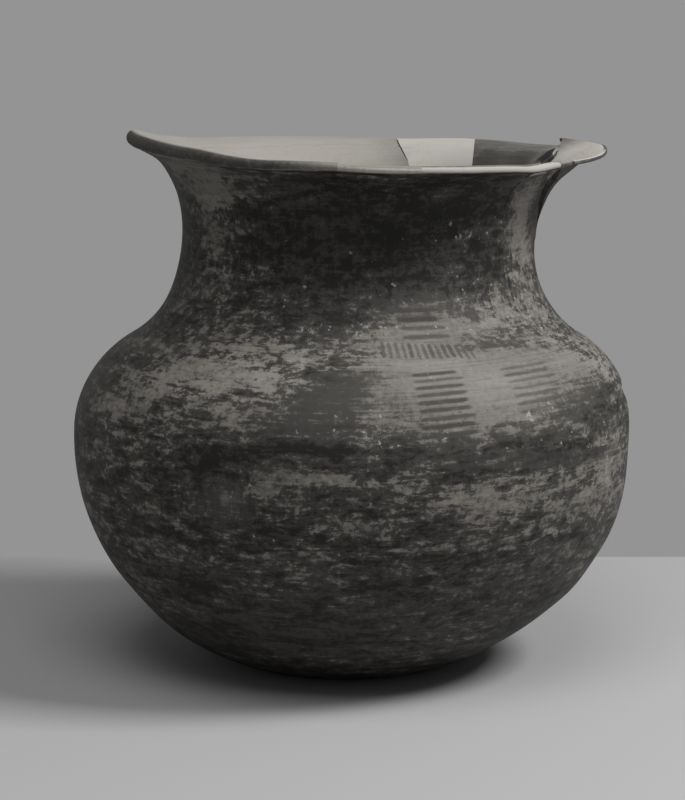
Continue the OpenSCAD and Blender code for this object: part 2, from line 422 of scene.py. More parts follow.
# How far the lip stands above the even rim
LIP_RISE = (
    (8, 0), (40, -0.2), (60, 1.2), (80, 0.5), (106, 2.0), (138, 3.2), (160, 5.2), (178, 6.8),
    (190, 6.9), (204, 5.9), (212, 5.0), (220, 4.0), (228, 3.2), (236, 1.7), (244, 0.8), (254, 0.9),
    (262, 0.8), (272, -0.6), (290, -1.6), (306, -2.0), (314, -2.7), (321, -1.4), (328, -0.5), (340, 0),
)
# How much thicker than the lip the rolled bead is
BEAD = (
    (146, 0.4), (158, 1.6), (176, 3.9), (194, 4.3), (206, 3.9), (218, 3.2), (232, 2.3), (243, 1.2),
    (256, 0.6), (263, 0.2),
)
# How far the lip is drawn in
LIP_DRAW = ((112, 0), (150, 0.9), (175, 2), (200, 2), (225, 1.2), (250, 0.3), (266, 0), (350, 0))
# How the rise grows from the start of the flare to the lip, in shares
RISE_SHARE = (
    (0, 0), (0.18, 0), (0.26, 0.07), (0.34, 0.17), (0.43, 0.31), (0.51, 0.46), (0.62, 0.57), (0.77, 0.65),
    (0.89, 0.77), (1, 1),
)
# How much the right sherd's lip swells at its outermost point, and over how much of a turn
TIP_SWELL, TIP_WIDTH = 1.7 * MM, 0.17


def lip_rise(around: Array) -> Array:
    """How far the lip stands above the even rim at an angle."""
    return MM * curve_through(LIP_RISE, np.degrees(around) % 360, 360)


def bead_swell(around: Array) -> Array:
    """How much thicker than the lip the rolled bead is at an angle."""
    return MM * np.maximum(curve_through(BEAD, np.degrees(around) % 360), 0)


def tip_swell(around: Array) -> Array:
    """How much thicker the right sherd's lip is at its outermost point."""
    return TIP_SWELL * np.exp(-(np.sin(around) / TIP_WIDTH) ** 2)


def lip_draw(around: Array) -> Array:
    """How far the lip is drawn in at an angle."""
    return MM * np.maximum(curve_through(LIP_DRAW, np.degrees(around) % 360), 0)


def flare_share(s: Array) -> Array:
    """The share of the flare that lies below a place."""
    return np.clip((s - JAR.flare_from) / (JAR.lip_at - JAR.flare_from), 0, 1)


# Flat patterns


@dataclass
class Pattern:
    """A piece of wall laid out flat: each point is an angle, a distance along the wall and a depth.

    Attributes:
        points: The places, as rows of angle, distance and depth from 0, outside, to 1, inside.
        faces: The faces, as places in points.
        rise: How far each point is lifted.
        swell: How much thicker the wall is at each point.
        press: How far each point is pushed outward, or inward if negative.
        draw: How far each point is drawn in toward the jar's middle.
    """

    points: Array
    faces: list[tuple[int, ...]]
    rise: Array = field(default_factory=lambda: np.zeros(0))
    swell: Array = field(default_factory=lambda: np.zeros(0))
    press: Array = field(default_factory=lambda: np.zeros(0))
    draw: Array = field(default_factory=lambda: np.zeros(0))
    MEASURES = ("rise", "swell", "press", "draw")

    def __post_init__(self) -> None:
        """Fills in the measures that were not given."""
        for name in self.MEASURES:
            if not len(getattr(self, name)):
                setattr(self, name, np.zeros(len(self.points)))

    def move_lip(self) -> None:
        """Lets the lip rise and draw in around the jar, as it was built."""
        a, s, _ = self.points.T
        self.rise = lip_rise(a) * curve_through(RISE_SHARE, flare_share(s))
        self.draw = lip_draw(a) * flare_share(s)

    def mesh(self, name: str) -> bpy.types.Object:
        """Makes the flat pattern an object.

        Args:
            name: The object's name.

        Returns:
            The object, with the pattern's measures and the traits of its surface as attributes.
        """
        data = bpy.data.meshes.new(name)
        data.from_pydata(self.points.tolist(), [], self.faces)
        a, s, _ = self.points.T
        kinds = {kind: getattr(self, kind) for kind in self.MEASURES}
        kinds |= {kind: worked_out(a, s) for kind, worked_out in TRAITS.items()}
        for kind, values in kinds.items():
            data.attributes.new(kind, "FLOAT", "POINT").data.foreach_set("value", values.astype(np.float32))
        return into_scene(name, data)


def grid_faces(columns: int, rows: int, columns_close: bool) -> list[tuple[int, ...]]:
    """Makes the faces of a grid of points that closes on itself one way.

    Args:
        columns: How many columns the grid has.
        rows: How many points each column has, one after the other in the list of points.
        columns_close: Whether the last column joins the first. Otherwise each column is a loop.

    Returns:
        The faces, as places in the list of points.
    """
    faces = []
    for c in range(columns if columns_close else columns - 1):
        d = (c + 1) % columns
        for r in range(rows - 1 if columns_close else rows):
            q = (r + 1) % rows
            faces.append((c * rows + r, d * rows + r, d * rows + q, c * rows + q))
    return faces


@dataclass(frozen=True)
class RimPatch:
    """A stretch of the rim, from the break to the lip, between two broken ends.

    Attributes:
        outline: The outline that it follows.
        first: The angle of its first end at each distance along the wall.
        last: The angle of its other end.
        lower: The distance along the wall at which it starts, below each angle and distance.
        columns: Sections around the jar.
        rows: Points up each face of a section.
        rounds: Points over the lip.
        swell: How much thicker than the wall its lip is around the jar.
        thinned: How much is worn off its outer face, below the lip.
        lumps: What swells or is lost.
        level: Whether the lip is as even as it was made.
    """

    outline: Outline
    first: Callable[[Array], Array]
    last: Callable[[Array], Array]
    lower: Callable[[Array, Array], Array]
    columns: int
    rows: int = 12
    rounds: int = 7
    swell: Callable[[Array], Array] = np.zeros_like
    thinned: float = 0.0
    lumps: tuple[Lump, ...] = ()
    level: bool = False
    LOW_ROUNDS = 12  # rounds in which the foot settles where it meets slanted ends
    LEAST = 0.5 * MM  # the least height of the piece
    BULGE = 0.25 * MM  # how far the broken face of the foot stands out
    FOOT_DEPTHS = (0.75, 0.25)  # how deep in the wall its two points lie, as shares
    WORN_BELOW = 2.6  # how close to the lip the most is worn off: the higher, the closer

    def angles(self, s: Array) -> Array:
        """The angle of every section at distances along the wall."""
        return self.first(s) + (self.last(s) - self.first(s)) * np.linspace(0, 1, self.columns)[:, None]

    def pattern(self) -> Pattern:
        """Lays the piece out flat.

        Returns:
            The flat pattern, closed at both ends.
        """
        top = self.outline.lip_at
        low = np.full((self.columns, 1), top - 2 * self.LEAST)
        for _ in range(self.LOW_ROUNDS):
            low = np.minimum(self.lower(self.angles(low), low), top - self.LEAST)
        face = low + (top - low) * np.linspace(0, 1, self.rows)[None, :]
        angle = self.angles(face)
        half = self.outline.lip / 2
        swell = self.swell(angle)
        bend = np.linspace(0, math.pi, self.rounds + 2)[None, 1:-1]
        lip_s = top + (half + swell[:, -1:] / 2) * np.sin(bend)
        lip_a = np.repeat(angle[:, -1:], self.rounds, 1)
        lip_d = np.repeat((1 - np.cos(bend)) / 2, self.columns, 0)
        foot_s = np.repeat(low, 2, 1) - self.BULGE
        foot_a = np.repeat(angle[:, :1], 2, 1)
        foot_d = np.broadcast_to(self.FOOT_DEPTHS, foot_s.shape)
        a = np.concatenate([angle, lip_a, angle[:, ::-1], foot_a], 1)
        s = np.concatenate([face, lip_s, face[:, ::-1], foot_s], 1)
        d = np.concatenate([np.zeros_like(face), lip_d, np.ones_like(face), foot_d], 1)
        rows = a.shape[1]
        faces = grid_faces(self.columns, rows, False)
        for c, flip in ((0, False), (self.columns - 1, True)):
            faces += self.cap(c * rows, flip)
        points = np.stack([a, s, d], -1).reshape(-1, 3)
        grow = np.clip((s - low) / (top - low), 0, 1) ** 2
        rise = np.clip((s - JAR.flare_from) / (top - JAR.flare_from), 0, 1)
        lost = self.thinned * np.sin(math.pi * rise**self.WORN_BELOW) ** 2
        press = sum((lump.push(a, s, d) for lump in self.lumps), -lost)
        made = Pattern(points, faces, swell=(self.swell(a) * grow - lost).ravel(), press=press.ravel())
        if not self.level:
            made.move_lip()
        return made

    def cap(self, start: int, flip: bool) -> list[tuple[int, ...]]:
        """Closes one broken end.

        Args:
            start: The end's first point.
            flip: Whether it faces the other way.

        Returns:
            Its faces.
        """
        n, m = self.rows, self.rounds
        outer = [start + i for i in range(n)]
        inner = [start + n + m + n - 1 - i for i in range(n)]
        faces = [(outer[i], outer[i + 1], inner[i + 1], inner[i]) for i in range(n - 1)]
        faces.append(tuple(start + n - 1 + i for i in range(m + 2)))
        faces.append((inner[0], start + 2 * n + m, start + 2 * n + m + 1, outer[0]))
        return [f[::-1] for f in faces] if flip else faces


@dataclass(frozen=True)
class Lump:
    """A swelling or a loss on the outside of the wall.

    Attributes:
        at: Its place on the wall, as an angle and a distance along the wall.
        across: Its half width around the jar.
        along: Its half width along the wall.
        height: How far it stands out, or how deep it is if negative.
        sharp: Whether it has an edge, like a lost flake, and does not die away.
    """

    at: tuple[float, float]
    across: float
    along: float
    height: float
    sharp: bool = False
    RAGGED = ((3, 1, 0.14), (7, 0, 0.08))  # a sharp edge's waves: how many, how far turned, and their share

    def push(self, a: Array, s: Array, depth: Array) -> Array:
        """Works out how far the lump pushes the wall.

        Args:
            a: The angles of the points of the wall.
            s: Their distances along it.
            depth: Their depths in it. A sharp loss reaches only the outer half.

        Returns:
            How far each point is pushed outward.
        """
        r = JAR.at(s)[0]
        x = ((a - self.at[0] + math.pi) % TURN - math.pi) * r / self.across
        y = (s - self.at[1]) / self.along
        d2 = x * x + y * y
        if self.sharp:
            turn = np.arctan2(y, x)
            ragged = 1 + sum(share * np.sin(count * turn + shift) for count, shift, share in self.RAGGED)
            return self.height * np.clip(1 - d2 / ragged**2, 0, None) * (depth < 0.5)
        return self.height * np.exp(-d2)


@dataclass(frozen=True)
class BodySheet:
    """The whole body laid out flat, from the base to the break, outside and inside.

    Attributes:
        columns: Sections around the jar.
        outer_rows: Points up the outside.
        inner_rows: Points up the inside.
        fixed: Distance along the wall below which every section has the same points.
        fixed_share: The share of the rows that lie below it.
        lumps: What swells or is lost.
    """

    columns: int = 360
    outer_rows: int = 176
    inner_rows: int = 70
    fixed: float = 338 * MM
    fixed_share: float = 0.86
    lumps: tuple[Lump, ...] = ()
    STEP = 1.5 * MM  # the least step in the broken edge that gets a section on both its sides
    SHARP_STEP = 1 * MM  # the least that it must then still be
    HALVINGS = 6  # how closely the two sections stand
    BULGE = 0.2 * MM  # how far the broken face stands out
    EDGE_DEPTHS = (0.25, 0.75)  # how deep in the wall its two points lie, as shares

    def top(self, around: Array) -> Array:
        """Finds the broken edge, at the break or at the foot of a notch.

        Args:
            around: Angles around the jar.

        Returns:
            The distance along the wall to the edge at each.
        """
        s, r, z = JAR.table(self.fixed, JAR.lip_at, count=900)
        limit = BREAK.along(around) - BREAK.gap
        x = r[None, :] * np.cos(around)[:, None]
        y = r[None, :] * np.sin(around)[:, None]
        cos_t, sin_t = math.cos(SHERD_TILT), math.sin(SHERD_TILT)
        y_back = y * cos_t + (z - RIM_Z)[None, :] * sin_t
        z_back = (z - RIM_Z)[None, :] * cos_t - y * sin_t + RIM_Z
        cut = SHERD_NOTCH.inside(y_back, z_back, BREAK.gap) & (x > 0)
        cut |= PANEL_NOTCH.inside(x, np.broadcast_to(z, x.shape), BREAK.gap) & (y > 0)
        first = np.where(cut.any(1), s[cut.argmax(1)], JAR.lip_at)
        return np.minimum(first, limit)

    def sections(self) -> Array:
        """Spreads the sections around the jar, with one on each side of every step in the broken edge.

        Returns:
            The angle of every section.
        """
        around = np.linspace(0, TURN, self.columns, endpoint=False)
        top = self.top(around)
        for i in np.flatnonzero(np.abs(np.diff(top)) > self.STEP):
            low, high = around[i], around[i + 1]
            for _ in range(self.HALVINGS):
                middle = (low + high) / 2
                reached = float(self.top(np.array([middle]))[0])
                if abs(reached - top[i]) < abs(reached - top[i + 1]):
                    low = middle
                else:
                    high = middle
            ends = self.top(np.array([low, high]))
            if abs(ends[1] - ends[0]) > self.SHARP_STEP:
                around[i], around[i + 1] = low, high
        return around

    def rows_to(self, top: Array, count: int) -> Array:
        """Spreads the rows up one face of the wall.

        Args:
            top: The distance along the wall to the broken edge in each section.
            count: How many rows there are.

        Returns:
            The distances along the wall of the rows of every section.
        """
        low = int(count * self.fixed_share)
        below = self.fixed * np.linspace(0, 1, low + 1)[1:]
        above = np.linspace(0, 1, count - low + 1)[1:]
        fixed = np.repeat(below[None, :], len(top), 0)
        return np.concatenate([fixed, self.fixed + (top[:, None] - self.fixed) * above[None, :]], 1)

    def pattern(self) -> Pattern:
        """Lays the body out flat.

        Returns:
            The flat pattern, closed under and inside the base.
        """
        around = self.sections()
        top = self.top(around)
        outer, inner = self.rows_to(top, self.outer_rows), self.rows_to(top, self.inner_rows)[:, ::-1]
        edge = np.repeat(top[:, None] + self.BULGE, 2, 1)
        s = np.concatenate([outer, edge, inner], 1)
        edge_d = np.broadcast_to(self.EDGE_DEPTHS, edge.shape)
        d = np.concatenate([np.zeros_like(outer), edge_d, np.ones_like(inner)], 1)
        a = np.repeat(around[:, None], s.shape[1], 1)
        rows = s.shape[1]
        faces = grid_faces(self.columns, rows, True)
        points = np.stack([a, s, d], -1).reshape(-1, 3)
        under, inside = len(points), len(points) + 1
        points = np.concatenate([points, [[0, 0, 0], [0, 0, 1]]])
        for c in range(self.columns):
            after = (c + 1) % self.columns
            faces.append((under, after * rows, c * rows))
            faces.append((inside, c * rows + rows - 1, after * rows + rows - 1))
        a, s, d = points.T
        press = sum((lump.push(a, s, d) for lump in self.lumps), np.zeros(len(s)))
        made = Pattern(points, faces, press=press)
        made.move_lip()
        return made


# Node trees, written as expressions


class Wire:
    """A value that runs through a node tree. Python's operators on it add Math nodes."""

    def __init__(self, board: Board, socket: bpy.types.NodeSocket) -> None:
        """Holds a socket of a tree."""
        self.board, self.socket = board, socket

    def maths(self, operation: str, *others: Wire | float) -> Wire:
        """Adds one Math node.

        Args:
            operation: The node's operation.
            others: Its second and third values.

        Returns:
            The node's result.
        """
        sockets = dict(enumerate((self, *others)))
        return self.board.wire("ShaderNodeMath", {"operation": operation}, sockets)

    def __add__(self, other: Wire | float) -> Wire:
        """Adds."""
        return self.maths("ADD", other)

    __radd__ = __add__

    def __sub__(self, other: Wire | float) -> Wire:
        """Subtracts."""
        return self.maths("SUBTRACT", other)

    def __rsub__(self, other: float) -> Wire:
        """Subtracts from a number."""
        return self.maths("MULTIPLY", -1.0).maths("ADD", other)

    def __mul__(self, other: Wire | float) -> Wire:
        """Multiplies."""
        return self.maths("MULTIPLY", other)

    __rmul__ = __mul__

    def __truediv__(self, other: Wire | float) -> Wire:
        """Divides."""
        return self.maths("DIVIDE", other)

    def __neg__(self) -> Wire:
        """Turns the sign."""
        return self.maths("MULTIPLY", -1.0)

    def low(self, other: Wire | float) -> Wire:
        """The lesser of two values."""
        return self.maths("MINIMUM", other)

    def high(self, other: Wire | float) -> Wire:
        """The greater of two values."""
        return self.maths("MAXIMUM", other)

    def between(self, start: float, end: float, way: str = "LINEAR") -> Wire:
        """Rises evenly from 0 to 1 between two values, or in another way."""
        sockets = {0: self, 1: start, 2: end, 3: 0.0, 4: 1.0}
        return self.board.wire("ShaderNodeMapRange", {"interpolation_type": way}, sockets)

    def step(self, start: float, end: float) -> Wire:
        """Rises smoothly from 0 to 1 between two values."""
        return self.between(start, end, "SMOOTHSTEP")

    def size(self) -> Wire:
        """The value without its sign."""
        return self.maths("ABSOLUTE")


class Board:
    """A node tree under construction."""

    def __init__(self, tree: bpy.types.NodeTree) -> None:
        """Starts from an empty tree."""
        self.tree = tree
        tree.nodes.clear()

    def add(self, kind: str, settings: dict, sockets: dict) -> bpy.types.Node:
        """Adds a node.

        Args:
            kind: The node's type.
            settings: Its settings, which are made first.
            sockets: Values or wires for its inputs, by name or place.

        Returns:
            The node.
        """
        node = self.tree.nodes.new(kind)
        for name, value in settings.items():
            setattr(node, name, value)
        for name, value in sockets.items():
            socket = node.inputs[name]
            source = value.socket if isinstance(value, Wire) else value
            if isinstance(source, bpy.types.NodeSocket):
                self.tree.links.new(source, socket)
            else:
                socket.default_value = source
        return node

    def wire(self, kind: str, settings: dict, sockets: dict, output: int | str = 0) -> Wire:
        """Adds a node and gives one of its outputs."""
        return Wire(self, self.add(kind, settings, sockets).outputs[output])

    def stretch(self, vector: Wire, scale: tuple[float, float, float]) -> Wire:
        """Stretches a vector along each axis."""
        return self.wire("ShaderNodeVectorMath", {"operation": "MULTIPLY"}, {0: vector, 1: scale})

    def vector(self, x: Wire, y: Wire, z: Wire | float) -> Wire:
        """Makes a vector of three values."""
        return self.wire("ShaderNodeCombineXYZ", {}, {0: x, 1: y, 2: z})

    def parts(self, vector: Wire) -> tuple[Wire, Wire, Wire]:
        """The three values of a vector."""
        node = self.add("ShaderNodeSeparateXYZ", {}, {0: vector})
        return Wire(self, node.outputs[0]), Wire(self, node.outputs[1]), Wire(self, node.outputs[2])

    def attribute(self, name: str, output: str = "Fac") -> Wire:
        """Reads one of the mesh's attributes, as a number or as a "Vector"."""
        return self.wire("ShaderNodeAttribute", {"attribute_name": name}, {}, output)

    def noise(
        self, vector: Wire, scale: float, detail: float = 2.0, rough: float = 0.5,
        seed: float = 0.0, warp: float = 0.0,
    ) -> Wire:
        """Adds noise around 0, between about -1 and 1.

        Args:
            vector: Where the noise is read.
            scale: How fine it is: its waves in a metre.
            detail: How many finer layers lie over it.
            rough: How strong each layer is beside the one before.
            seed: Which noise it is.
            warp: How far it is twisted.

        Returns:
            The noise.
        """
        raw = self.wire(
            "ShaderNodeTexNoise", {"noise_dimensions": "4D"},
            {"Vector": vector, "W": seed, "Scale": scale, "Detail": detail, "Roughness": rough,
             "Distortion": warp},
        )
        return (raw - 0.5) * 2.0

    def mix(self, factor: Wire | float, first: Wire | Colour, second: Wire | Colour) -> Wire:
        """Mixes two colours.

        Args:
            factor: The share of the second.
            first: The first colour.
            second: The second colour.

        Returns:
            The mixed colour.
        """
        one, other = (value if isinstance(value, Wire) else (*value, 1.0) for value in (first, second))
        return self.wire("ShaderNodeMix", {"data_type": "RGBA"}, {0: factor, 6: one, 7: other}, 2)


def input_name(size: str) -> str:
    """The name that one of the outline's sizes has on the tree."""
    return size.replace("_", " ").title()


class Wheel:
    """The Geometry Nodes tree that throws the wall: it bends a flat pattern onto the jar's outline."""

    SIZES = ("wall", "floor", "lip", "lean", "belly_z")
    OTHER_SIZES = ("Set Out", "Tilt", "Rim Height", "Unevenness")
    # The waves of the unevenness: how many in a metre, how high, and which noise
    WAVES = ((9.0, 0.9 * MM, 3.0), (31.0, 0.22 * MM, 11.0), (120.0, 0.07 * MM, 23.0))
    THINS_OVER = 0.5  # how soon the floor thins to the wall, as a share of the flat's radius
    UNEVEN_FROM = (0.03, 0.09)  # distances along the wall between which the unevenness sets in

    def __init__(self) -> None:
        """Builds the tree once for all pieces."""
        self.tree = bpy.data.node_groups.new("throw_the_wall", "GeometryNodeTree")
        self.board = Board(self.tree)
        self.ids: dict[str, str] = {}
        self.build()

    def entry(self, name: str, kind: str = "NodeSocketFloat") -> None:
        """Gives the tree an input of a name and a kind."""
        made = self.tree.interface.new_socket(name, in_out="INPUT", socket_type=kind)
        self.ids[name] = made.identifier

    def build(self) -> None:
        """Adds the tree's inputs and nodes."""
        board = self.board
        self.entry("Pattern", "NodeSocketGeometry")
        for i, _ in enumerate(SHERD.arcs()):
            self.entry(f"Arc {i} Radius")
            self.entry(f"Arc {i} Turn")
        for name in ("Flat Radius", *map(input_name, self.SIZES), *self.OTHER_SIZES):
            self.entry(name)
        self.entry("Finish", "NodeSocketMaterial")
        self.tree.interface.new_socket("Wall", in_out="OUTPUT", socket_type="NodeSocketGeometry")
        door = self.tree.nodes.new("NodeGroupInput")

        def get(name: str) -> Wire:
            """One of the tree's inputs."""
            return Wire(board, door.outputs[name])

        def measure(name: str) -> Wire:
            """One of the pattern's measures."""
            return board.wire("GeometryNodeInputNamedAttribute", {"data_type": "FLOAT"}, {"Name": name})

        around, s, depth = board.parts(board.wire("GeometryNodeInputPosition", {}, {}))
        cos_a, sin_a = around.maths("COSINE"), around.maths("SINE")

        # The outline: the radius, the height and the way that it goes, arc by arc
        flat_r = get("Flat Radius")
        r, z, way, start, before = s.high(0.0).low(flat_r), s * 0.0, s * 0.0, flat_r, s * 0.0
        starts: list[Wire] = []
        for i, arc in enumerate(SHERD.arcs()):
            starts.append(start)
            radius, turn, bend = get(f"Arc {i} Radius"), get(f"Arc {i} Turn"), float(arc.bend)
            length = radius * turn
            here = (s - start).high(0.0).low(length) / radius * bend
            at = before + here
            r = r + (at.maths("SINE") - before.maths("SINE")) * radius * bend
            z = z + (before.maths("COSINE") - at.maths("COSINE")) * radius * bend
            way = way + here
            before, start = before + turn * bend, start + length
        cos_way, sin_way = way.maths("COSINE"), way.maths("SINE")
        past = (s - start).high(0.0)
        r, z = r + past * cos_way, z + past * sin_way

        # The wall's thickness and its unevenness
        low = ((s - flat_r) / (flat_r * self.THINS_OVER)).high(0.0).low(1.0)
        high = ((s - starts[FLARE]) / (start - starts[FLARE])).high(0.0).low(1.0)
        wall = get("Wall")
        thick = get("Floor") + (wall - get("Floor")) * low + (get("Lip") - wall) * high + measure("swell")
        clay = board.vector(r * cos_a, r * sin_a, z)
        waves = (board.noise(clay, scale, 1.0, 0.5, seed) * height for scale, height, seed in self.WAVES)
        uneven = sum(waves, s * 0.0) * get("Unevenness") * s.between(*self.UNEVEN_FROM)
        out = uneven + measure("press") - thick * depth
        r = r + sin_way * out - measure("draw")
        z = (z - cos_way * out).high(0.0) + measure("rise")

        # How the piece is set: out along X, tilted about X at the height of the rim, and leaning
        y, tall = r * sin_a, z - get("Rim Height")
        cos_t, sin_t = get("Tilt").maths("COSINE"), get("Tilt").maths("SINE")
        z_tilted = y * sin_t + tall * cos_t + get("Rim Height")
        x = r * cos_a + get("Set Out") + (z_tilted - get("Belly Z")) * get("Lean")
        place = board.vector(x, y * cos_t - tall * sin_t, z_tilted)

        drum = board.vector(cos_a * DRUM_R, sin_a * DRUM_R, s)
        geometry = door.outputs["Pattern"]
        for name, kind, value in (("drum", "FLOAT_VECTOR", drum), ("depth", "FLOAT", depth)):
            geometry = board.add(
                "GeometryNodeStoreNamedAttribute", {"data_type": kind, "domain": "POINT"},
                {"Geometry": geometry, "Name": name, "Value": value},
            ).outputs[0]
        for kind, sockets in (
            ("GeometryNodeSetPosition", {"Position": place}),
            ("GeometryNodeRealizeInstances", {}),
            ("GeometryNodeSetMaterial", {"Material": get("Finish")}),
        ):
            geometry = board.add(kind, {}, {"Geometry": geometry} | sockets).outputs[0]
        self.tree.links.new(geometry, board.add("NodeGroupOutput", {}, {}).inputs[0])

    def throw(
        self, pattern: Pattern, name: str, outline: Outline, finish: bpy.types.Material,
        set_out: float = 0.0, tilt: float = 0.0,
    ) -> bpy.types.Object:
        """Bends a flat pattern onto an outline and makes it a plain mesh.

        Args:
            pattern: The flat pattern.
            name: The piece's name.
            outline: The outline that it follows.
            finish: Its material.
            set_out: How far it stands out along +X.
            tilt: How far it is tilted about X, in radians.

        Returns:
            The finished piece.
        """
        flat = pattern.mesh(name + "_flat")
        layer = flat.modifiers.new("wheel", "NODES")
        layer.node_group = self.tree
        no_arc = Arc(1.0, 0.0, -1)
        arcs = outline.arcs() + [no_arc] * (len(SHERD.arcs()) - len(outline.arcs()))
        values = {"Flat Radius": outline.flat_r, "Set Out": set_out, "Tilt": tilt, "Rim Height": RIM_Z,
                  "Unevenness": 1.0, "Finish": finish}
        for i, arc in enumerate(arcs):
            values |= {f"Arc {i} Radius": arc.radius, f"Arc {i} Turn": arc.turn}
        values |= {input_name(size): getattr(outline, size) for size in self.SIZES}
        for key, value in values.items():
            layer[self.ids[key]] = value
        made = plain_mesh(flat)
        bpy.data.objects.remove(flat)
        made.name = name
        for kind in Pattern.MEASURES:
            if kind in made.attributes:
                made.attributes.remove(made.attributes[kind])
        made.shade_smooth()
        made.set_sharp_from_angle(angle=SHARP_TURN)
        LOG.info("%s: %d faces", name, len(made.polygons))
        return into_scene(name, made)


# The camera, and places on the painted front


@dataclass(frozen=True)
class View:
    """The camera of the picture.

    Attributes:
        place: Where it stands.
        pitch: How far it looks down, in radians.
        focal: Its focal length in pixels of the picture.
        sensor: The film's longer side, in millimetres.
        sees: The nearest and farthest that it sees.
        reach: How far along a ray the front of the jar may be, as shares of a ray one metre deep.
    """

    place: tuple[float, float, float] = (-5.6 * MM, -1300 * MM, 344.7 * MM)
    pitch: float = math.radians(8.91)
    focal: float = 2437.5
    sensor: float = 36.0
    sees: tuple[float, float] = (0.05, 50.0)
    reach: tuple[float, float] = (1.08, 1.36)

    def camera(self) -> None:
        """Makes the camera."""
        data = bpy.data.cameras.new("camera")
        data.sensor_width = data.sensor_height = self.sensor
        data.lens = self.focal * self.sensor / max(PICTURE)
        data.clip_start, data.clip_end = self.sees
        made = into_scene("camera", data)
        made.location = self.place
        made.rotation_euler = (math.pi / 2 - self.pitch, 0.0, 0.0)
        bpy.context.scene.camera = made

    @lru_cache(maxsize=None)
    def on_wall(self, px: float, py: float) -> tuple[float, float]:
        """Finds the place on the outside of the wall that a pixel of the picture shows.

        Args:
            px: The pixel's column.
            py: The pixel's row.

        Returns:
            The angle around the jar and the distance along the wall.
        """
        right, up = (px - PICTURE[0] / 2) / self.focal, (PICTURE[1] / 2 - py) / self.focal
        cos_p, sin_p = math.cos(self.pitch), math.sin(self.pitch)
        ray = np.array([right, cos_p + up * sin_p, -sin_p + up * cos_p])
        far = np.linspace(*self.reach, 2801)[:, None]
        x, y, z = (np.array(self.place) + ray * far).T
        s, r_wall, z_wall = JAR.table(JAR.flat_r, JAR.lip_at, count=1600)
        x = x - JAR.lean * (z - JAR.belly_z)
        gap = np.hypot(x, y) - np.interp(z, z_wall, r_wall)
        hit = int(np.argmax(gap < 0)) if (gap < 0).any() else int(np.argmin(gap))
        return math.atan2(y[hit], x[hit]) % TURN, float(np.interp(z[hit], z_wall, s))


VIEW = View()


@dataclass(frozen=True)
class Patch:
    """A soft patch of the painted front where the slip is worn (above 0) or dense (below 0).

    Attributes:
        px: Its column in the picture.
        py: Its row in the picture.
        wide: Its half width in pixels.
        tall: Its half height in pixels.
        amount: How worn it is.
        slant: How it slants, in degrees, counted upward to the right.
    """

    px: float
    py: float
    wide: float
    tall: float
    amount: float
    slant: float = 0.0
    STEP = 4  # how many pixels are stepped aside and down to find the scale there
    LEAST = 1 * MM  # the least length along the wall that the step down may show
    FAR = 50.0  # beyond this, the patch has no weight

    def weight(self, a: Array, s: Array) -> Array:
        """Works out how much of the patch there is.

        Args:
            a: The angles of places on the wall.
            s: Their distances along it.

        Returns:
            The patch's share at each.
        """
        a0, s0 = VIEW.on_wall(self.px, self.py)
        side = self.STEP if self.px < PICTURE[0] / 2 else -self.STEP
        a1, _ = VIEW.on_wall(self.px + side, self.py)
        _, s1 = VIEW.on_wall(self.px, self.py + self.STEP)
        across = ((a - a0 + math.pi) % TURN - math.pi) * side / ((a1 - a0) or 1.0)
        along = (s - s0) * self.STEP / max(s0 - s1, self.LEAST)
        c, d = math.cos(math.radians(self.slant)), math.sin(math.radians(self.slant))
        u, v = (across * c + along * d) / self.wide, (along * c - across * d) / self.tall
        return self.amount * np.exp(-np.minimum(u * u + v * v, self.FAR))


